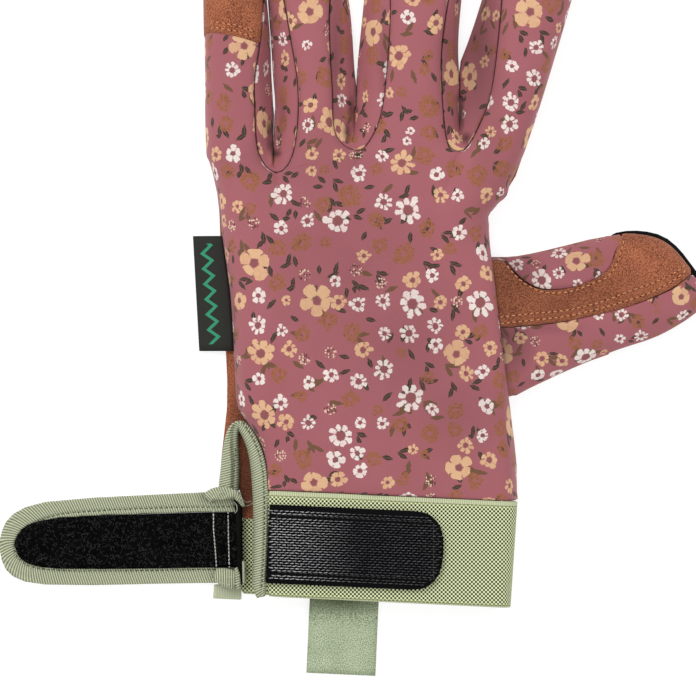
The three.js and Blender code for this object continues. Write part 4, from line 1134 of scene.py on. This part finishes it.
VENT_STATIONS = stations_of(
    ((227.5, 497), 20.5, 3.8),
    ((228.5, 482), 20.5, 4.0),
    ((229.8, 464), 18.6, 4.0),
    ((230.3, 447), 15.6, 4.0),
    ((231.5, 434), 12.6, 4.1),
    ((234.5, 426.5), 11.6, 4.3),
    ((239.5, 424), 12, 4.7),
    ((247, 432.5), 13, 6.2),
    ((254, 447), 14.5, 8),
    ((258.6, 465), 16.5, 9.6),
    ((260.4, 485), 17, 10.5),
    ((261.2, 520), 15.5, 10.7),
    ((260.4, 560), 14.6, 10.7),
    ((259, 588), 14, 10.6),
    ((261, 597), 9, 10.4),
)
VENT_TURN = 0.0225
VENT_TURN_FADE = 0.8 * MM
VENT_OUTER_FROM = 0.0165
VENT_OUTER_FADE = 0.6 * MM
VENT_OUTER_SEAM = 1.4 * MM
VENT_INNER_SEAM = 2 * MM
vent_tape = tape_over("vent_tape", VENT_STATIONS)
vent_line = line_of(VENT_STATIONS)
spots = lay_along(vent_tape, smooth_line(vent_line))
reaches = np.concatenate([[0], np.cumsum([(b - a).length for a, b in zip(vent_line, vent_line[1:])])])
halves = np.interp(spots[:, 0], reaches, [station["width"] * PIXEL / 2 for station in VENT_STATIONS])
on_left = fade(spots[:, 0] - VENT_TURN, VENT_TURN_FADE)
with_rim = fade(VENT_OUTER_FROM - spots[:, 0], VENT_OUTER_FADE)
outer = groove(spots[:, 1], halves - VENT_OUTER_SEAM) * with_rim
inner = groove(spots[:, 1], VENT_INNER_SEAM - halves, depth=1 * MM, width=0.5 * MM) * on_left
press(vent_tape, outer + inner)
# Painted shade on the vent tape: darker towards its inner side and in its deep inner groove.
inner_painted_shade = 0.5 * np.clip(-spots[:, 1] / halves, 0, 1) ** 2.2 + 0.5 * np.clip(inner / MM, 0, 1)
store(vent_tape, "shade", inner_painted_shade)
fit(vent_tape, ribbed_tape, "green_tape", "vent_binding_right", "vent_binding_left")
TAIL_LINE = photo_line([(215, 590), (242, 590)])
tail = rolled_from("binding_tail", "tape_tail", voxel=0.3 * MM, passes=2)
lay_along(tail, TAIL_LINE)
smooth_tape = ribbed_material("smooth green tape", paint(182, 188, 156), paint(194, 200, 170), 0)
fit(tail, smooth_tape, "green_tape", "binding_tail")

# Strap's cloth and its loop tape.
# The strap has a plain cloth core, and its face is black loop tape with a soft curly pile.
strap_core = plate_from("strap_body", "strap_core", width=0.3 * MM)
fatten(strap_core, 0.3 * MM)
plain_green = suede_material(
    "plain green cloth", paint(130, 140, 108), paint(180, 190, 156), 0.3, rough=0.85, sheen=0.1,
)
fit(strap_core, plain_green, "green_tape", "strap_body")
pile_black = suede_material(
    "black loop pile", paint(3, 3, 3), paint(14, 14, 14), 0.5, rough=1, sheen=0, gloss=0.03,
)
loops_patch = rolled_from("strap_loop_patch", "loop_tape", passes=3)
fatten(loops_patch, 0.35 * MM)
crumple(loops_patch, 1.4 * MM, 0.18 * MM, floor=1.7 * MM, full=1 * MM)
fit(loops_patch, pile_black, "black_pile", "strap_loop_patch")

# Pile of the loop tape, and the rows that sew the strap to the cuff.
# The pile is a mass of short curled fibres, some of them catching the light. Two pale rows of
# machine stitches cross the tape near its root.
PILE_TUFTS = 1300
CURL_LEAN = 0.5, 1.5
UPPER_FACE = 0.8
RING = {"major_segments": 6, "minor_segments": 3, "major_radius": 1}


def scattered_curls(piece, count, small, large, chance):
    """Matrices for curled fibres that stand at random on the upper face of a piece."""
    surface = surface_of(piece)
    corners = [corner.co for corner in piece.data.vertices]
    left, right = min(c.x for c in corners), max(c.x for c in corners)
    front, back = min(c.y for c in corners), max(c.y for c in corners)
    places = []
    while len(places) < count:
        spot = Vector((chance.uniform(left, right), chance.uniform(front, back), 0))
        hit, normal = drop_onto(surface, spot)
        if hit is None or normal.z < UPPER_FACE:
            continue
        size = chance.uniform(small, large)
        turn = Matrix.Rotation(chance.uniform(0, math.tau), 4, "Z")
        lean = Matrix.Rotation(chance.uniform(*CURL_LEAN), 4, "X")
        places.append(Matrix.Translation(hit) @ turn @ lean @ Matrix.Diagonal((size, size * 0.8, size, 1)))
    return places


curl = pattern_of("curl", bpy.ops.mesh.primitive_torus_add, minor_radius=0.16, **RING)
pile_fibre = thread_material("black pile fibre", paint(14, 14, 15), paint(58, 58, 60))
pile = copies_of(curl, "loop_pile", scattered_curls(loops_patch, PILE_TUFTS, 0.28 * MM, 0.5 * MM, luck))
fit(pile, pile_fibre, "black_pile")

black_selvage = suede_material(
    "black selvage", paint(6, 6, 6), paint(26, 26, 26), 0.4, rough=0.9, sheen=0, gloss=0.05,
)
pale_green_thread = thread_material("pale green thread", paint(176, 180, 150), paint(226, 228, 204))
pale_thread = thread_material("pale thread", paint(150, 156, 146), paint(214, 218, 208))
ROOT_ROWS = [(212.6, 496), (213, 530), (215, 555), (216, 570)], [(227.5, 512), (228, 540), (228.8, 569)]
ROOT_STITCH_PITCH = 3.6 * PIXEL
sew(
    "strap_root_stitches", [photo_line(row) for row in ROOT_ROWS], surface_of(loops_patch, strap_edge),
    ROOT_STITCH_PITCH, pale_thread, "black_pile", long=3.9 * PIXEL, lift=0.4, chance=luck,
)

# Root of the strap.
# The tape's end is bunched over the strap's top corner, folded to a knot over the low one, and
# a black selvage and a pale tack of tape show between the strap and the cuff. Threads fray out.
ROOT_TAPES = {
    "root_selvage": (black_selvage, stations_of(
        ((237, 495), 8, 4.3),
        ((238.4, 512), 7, 4.4),
        ((239, 540), 6, 4.4),
        ((239.6, 566), 6, 4.5),
        ((239.8, 585), 5, 4.4),
    )),
    "root_tack": (smooth_tape, stations_of(
        ((243, 562), 3.4, 4.4),
        ((243.2, 572), 3.8, 4.5),
        ((243.2, 584), 3.2, 4.4),
    )),
    "root_bunch": (ribbed_tape, stations_of(
        ((205, 498), 9, 4.6),
        ((212, 495), 13, 5.2),
        ((220, 494), 14, 5.6),
        ((229, 493.5), 12, 5.8),
        ((236, 495.5), 9, 5.8),
        ((240.5, 501), 6, 5.4),
        ((243, 507), 3.5, 4.9),
    )),
    "root_knot": (ribbed_tape, stations_of(
        ((214, 575), 12, 4.9),
        ((219.5, 576.5), 16.5, 5.5),
        ((227, 579), 20, 5.9),
        ((235.5, 582), 18, 5.1),
    )),
    "root_curl": (ribbed_tape, stations_of(
        ((235.5, 568.5), 3.5, 5.4),
        ((237.4, 575), 5, 6),
        ((237.2, 583), 6, 6),
        ((238.5, 590.5), 3.5, 5),
    )),
}
root_pieces = []
for name, (cloth, stations) in ROOT_TAPES.items():
    piece = tape_over(name, stations, fold=1.7 * MM, rounds=2, wall=0.6 * MM)
    lay_along(piece, smooth_line(line_of(stations)))
    if cloth is ribbed_tape:
        crumple(piece, 1.5 * MM, 0.75 * MM, seed=2.2, floor=2.2 * MM, full=2 * MM)
    fit(piece, cloth, "black_pile" if cloth is black_selvage else "green_tape")
    root_pieces.append(piece)

FRAYED = [
    [(224, 499), (229, 493.5), (235, 491), (240, 495), (242.5, 503), (244, 507)],
    [(230.5, 504.5), (234, 503), (236.3, 506), (236.6, 511), (234.6, 514)],
    [(241.5, 507.5), (245, 507), (248, 506.4), (250.5, 505), (253.5, 503.4)],
    [(239, 497), (243, 501), (245.5, 503), (251, 502)],
    [(206, 508.5), (211, 500), (217, 494.5), (223, 492)],
    [(215.7, 581.4), (222, 583.8), (229.8, 585.4)],
]
FRAY_PITCH = 1.2 * PIXEL
sew(
    "frayed_threads", [smooth_line(photo_line(row)) for row in FRAYED],
    surface_of(strap_edge, loops_patch, palm, *root_pieces), FRAY_PITCH, pale_green_thread, "green_tape",
    long=1.7 * PIXEL, thick=0.42 * PIXEL,
)

# Stitches in the grooves of the tape.
# Dark green thread, a short stitch every few ribs, on the strap and round the vent.
green_thread = thread_material("dark green thread", paint(44, 56, 36), paint(84, 98, 66))


def beside(line, aside):
    """The line moved to its left by a distance."""
    moved = []
    for number, spot in enumerate(line):
        way = way_at(line, number)
        moved.append(spot + Vector((-way.y, way.x, 0)) * aside)
    return moved


TAPE_STITCH_PITCH = 5.2 * PIXEL
VENT_ROWS = (
    [(235, 448), (234.6, 460), (233.8, 474), (232, 488)],
    [
        (241.9, 421.5), (252, 437), (259.5, 455), (263, 474), (264.3, 503), (264.4, 528), (263.6, 557),
        (262, 588),
    ],
)
SHORT_STITCH = {"long": 2.6 * PIXEL, "chance": luck}
strap_row = beside(STRAP_LINE, STRAP_GROOVE)
places = stitch_places(strap_row, surface_of(strap_edge), TAPE_STITCH_PITCH, **SHORT_STITCH)
for row in VENT_ROWS:
    places += stitch_places(photo_line(row), surface_of(vent_tape), TAPE_STITCH_PITCH, **SHORT_STITCH)
fit(copies_of(bead, "tape_stitches", places), green_thread, "green_tape")

# Hook tape on the cuff.
# Black woven tape with dense rows of stiff hooks and a bare border, sewn flat on the elastic.
HOOK_VENT_END = (268, 545), (12, 70), (-1, 0, 0)
WEAVE_PITCH_X = 0.85
WEAVE_PITCH_Y = 0.65


def hook_tape_material():
    """Black woven tape under the hooks."""
    material, tree, shader = new_material("black hook tape", 0.7, gloss=0.06)
    x, y, _ = split(object_place(tree))
    weave = wave(x, WEAVE_PITCH_X, "SINE") * wave(y, WEAVE_PITCH_Y, "SINE") * 0.5 + 0.5
    finish(shader, blend(weave, paint(4, 4, 5), paint(16, 16, 18)), weave)
    return material


# Where the hooks' painted sheen fades out, in millimetres across the glove.
HOOK_SHEEN_PAINT_END = -21
HOOK_SHEEN_PAINT_FADE = 18


def hook_material():
    """Stiff nylon hooks with a painted grey sheen on the left, fading to black towards the right."""
    material, tree, shader = new_material("nylon hooks", 0.35, gloss=0.6)
    place = object_place(tree)
    x, _, _ = split(place)
    along = ((x - HOOK_SHEEN_PAINT_END) / HOOK_SHEEN_PAINT_FADE).clamp()
    grain = sharpen(speckle(place, 1.5), 0.35, 3)
    painted_sheen = blend(grain, paint(150, 150, 152), paint(240, 240, 242))
    unsheened = blend(grain, paint(24, 24, 26), paint(112, 112, 116))
    finish(shader, blend(along, painted_sheen, unsheened))
    return material


hook_base = plate_from("hook_patch", "hook_tape")
nudge(hook_base, HOOK_VENT_END)
fit(hook_base, hook_tape_material(), "black_hook", "hook_patch")

HOOK_BORDER = 1.2 * MM
HOOK_PITCH_X = 1.62 * MM
HOOK_PITCH_Y = 0.81 * MM
HOOK_SIZE = 0.46 * MM
HOOK_FURROW = 3.1 * MM
HOOK_BARE = 0.4 * MM
HOOK_RIM = 0.8 * HOOK_BORDER
hook = pattern_of("hook", bpy.ops.mesh.primitive_torus_add, minor_radius=0.42, **RING)
hook_surface = surface_of(hook_base)
low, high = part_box("hook_patch")
places = []
slant = CUFF_SLOPE * (high.x - low.x)
tall = high.y - low.y + slant
rows = int((tall - 2 * HOOK_BORDER) / HOOK_PITCH_Y)
columns = int((high.x - low.x - 2 * HOOK_BORDER) / HOOK_PITCH_X)
for row in range(rows + 1):
    rise = HOOK_BORDER + row * HOOK_PITCH_Y
    in_furrow = min(abs(rise - HOOK_FURROW), abs(tall - rise - HOOK_FURROW)) < HOOK_BARE
    for column in range(columns + 1):
        x = low.x + HOOK_BORDER + (column + 0.5 * (row % 2)) * HOOK_PITCH_X
        spot = Vector((x, low.y - slant + rise + CUFF_SLOPE * (x - low.x), 0))
        rim = [spot + Vector((math.cos(turn), math.sin(turn), 0)) * HOOK_RIM for turn in (0.6, -0.6)]
        inside = all(drop_onto(hook_surface, place)[0] is not None for place in rim)
        hit, _ = drop_onto(hook_surface, spot)
        if hit is None or in_furrow or not inside:
            continue
        turn = Matrix.Rotation(luck.uniform(-0.2, 0.2), 4, "Z") @ Matrix.Rotation(math.pi / 2, 4, "X")
        size = HOOK_SIZE * luck.uniform(0.9, 1.1)
        places.append(Matrix.Translation(hit) @ turn @ Matrix.Diagonal((size * 1.25, size, size * 0.8, 1)))
fit(copies_of(hook, "hooks", places), hook_material(), "black_hook")

corners = [
    Vector((low.x + HOOK_FURROW, low.y - slant + HOOK_FURROW, 0)),
    Vector((high.x - HOOK_FURROW, low.y + HOOK_FURROW, 0)),
    Vector((high.x - HOOK_FURROW, high.y + slant - HOOK_FURROW, 0)),
    Vector((low.x + HOOK_FURROW, high.y - HOOK_FURROW, 0)),
]
black_thread = thread_material("black thread", paint(12, 12, 13), paint(60, 60, 62))
sides = zip(corners, corners[1:] + corners[:1])
sew(
    "hook_tape_stitches", sides, hook_surface, TAPE_STITCH_PITCH, black_thread, "black_hook", chance=luck,
)

# Pull tab below the cuff.
# A strip of brushed green elastic, sewn inside the cuff, to pull the glove on by.
# Painted shadow of the cuff across the top of the tab, where it comes out from under the cuff, in a dark
# green shade tone.
TAB_PAINTED_SHADOW = (343, 601), (60, 15), 0.8
green_brushed = suede_material(
    "brushed green tab", paint(96, 116, 78), paint(216, 226, 194), 0.3, sheen=0.2, contrast=5.4, blotch=0.08,
    shade_tone=paint(44, 58, 14),
)
tab = cloth_from("pull_tab", "brushed_tab", crease=1)
paint_fold_shade(tab, TAB_PAINTED_SHADOW)
fit(tab, green_brushed, "green_brushed", "pull_tab")

# Side tab.
# A folded strip of black twill ribbon caught in the side seam, with one plain zigzag line.
TAB_LINE = photo_place(205, 240), photo_place(214, 348)
TWILL_PITCH = 0.62
ZIGZAG_STEP = 2.4
ZIGZAG_HALF = 0.72
ZIGZAG_ENDS = 1, 32.6


def woven_ribbon_material():
    """Black twill ribbon with one plain green zigzag line woven down its middle."""
    material, tree, shader = new_material("black woven ribbon", 0.7, gloss=0.15)
    start, end = TAB_LINE
    down = (end - start).normalized()
    place = put(tree, "TexCoord", output="Object").vector("SUBTRACT", start).scaled(1 / MM)
    along = place.vector("DOT_PRODUCT", down, output="Value")
    across = place.vector("DOT_PRODUCT", (-down.y, down.x, 0), output="Value")
    twill = wave(along + across, TWILL_PITCH, "SINE") * 0.5 + 0.5
    black = blend(twill, paint(16, 18, 16), paint(62, 62, 58))
    green = blend(twill, paint(34, 118, 86), paint(70, 172, 132))
    middle = (along + 20).calc("PINGPONG", ZIGZAG_STEP) * 1.2 - ZIGZAG_STEP * 0.6
    line = (abs(across - middle) < ZIGZAG_HALF) * between(along, *ZIGZAG_ENDS)
    finish(shader, blend(line, black, green))
    return material


side_tab = cloth_from("side_label", "woven_side_tab", crease=1)
fatten(side_tab, 0.1 * MM)
fit(side_tab, woven_ribbon_material(), "black_woven", "side_label")

for pattern in (bead, curl, hook):
    bpy.data.objects.remove(pattern)
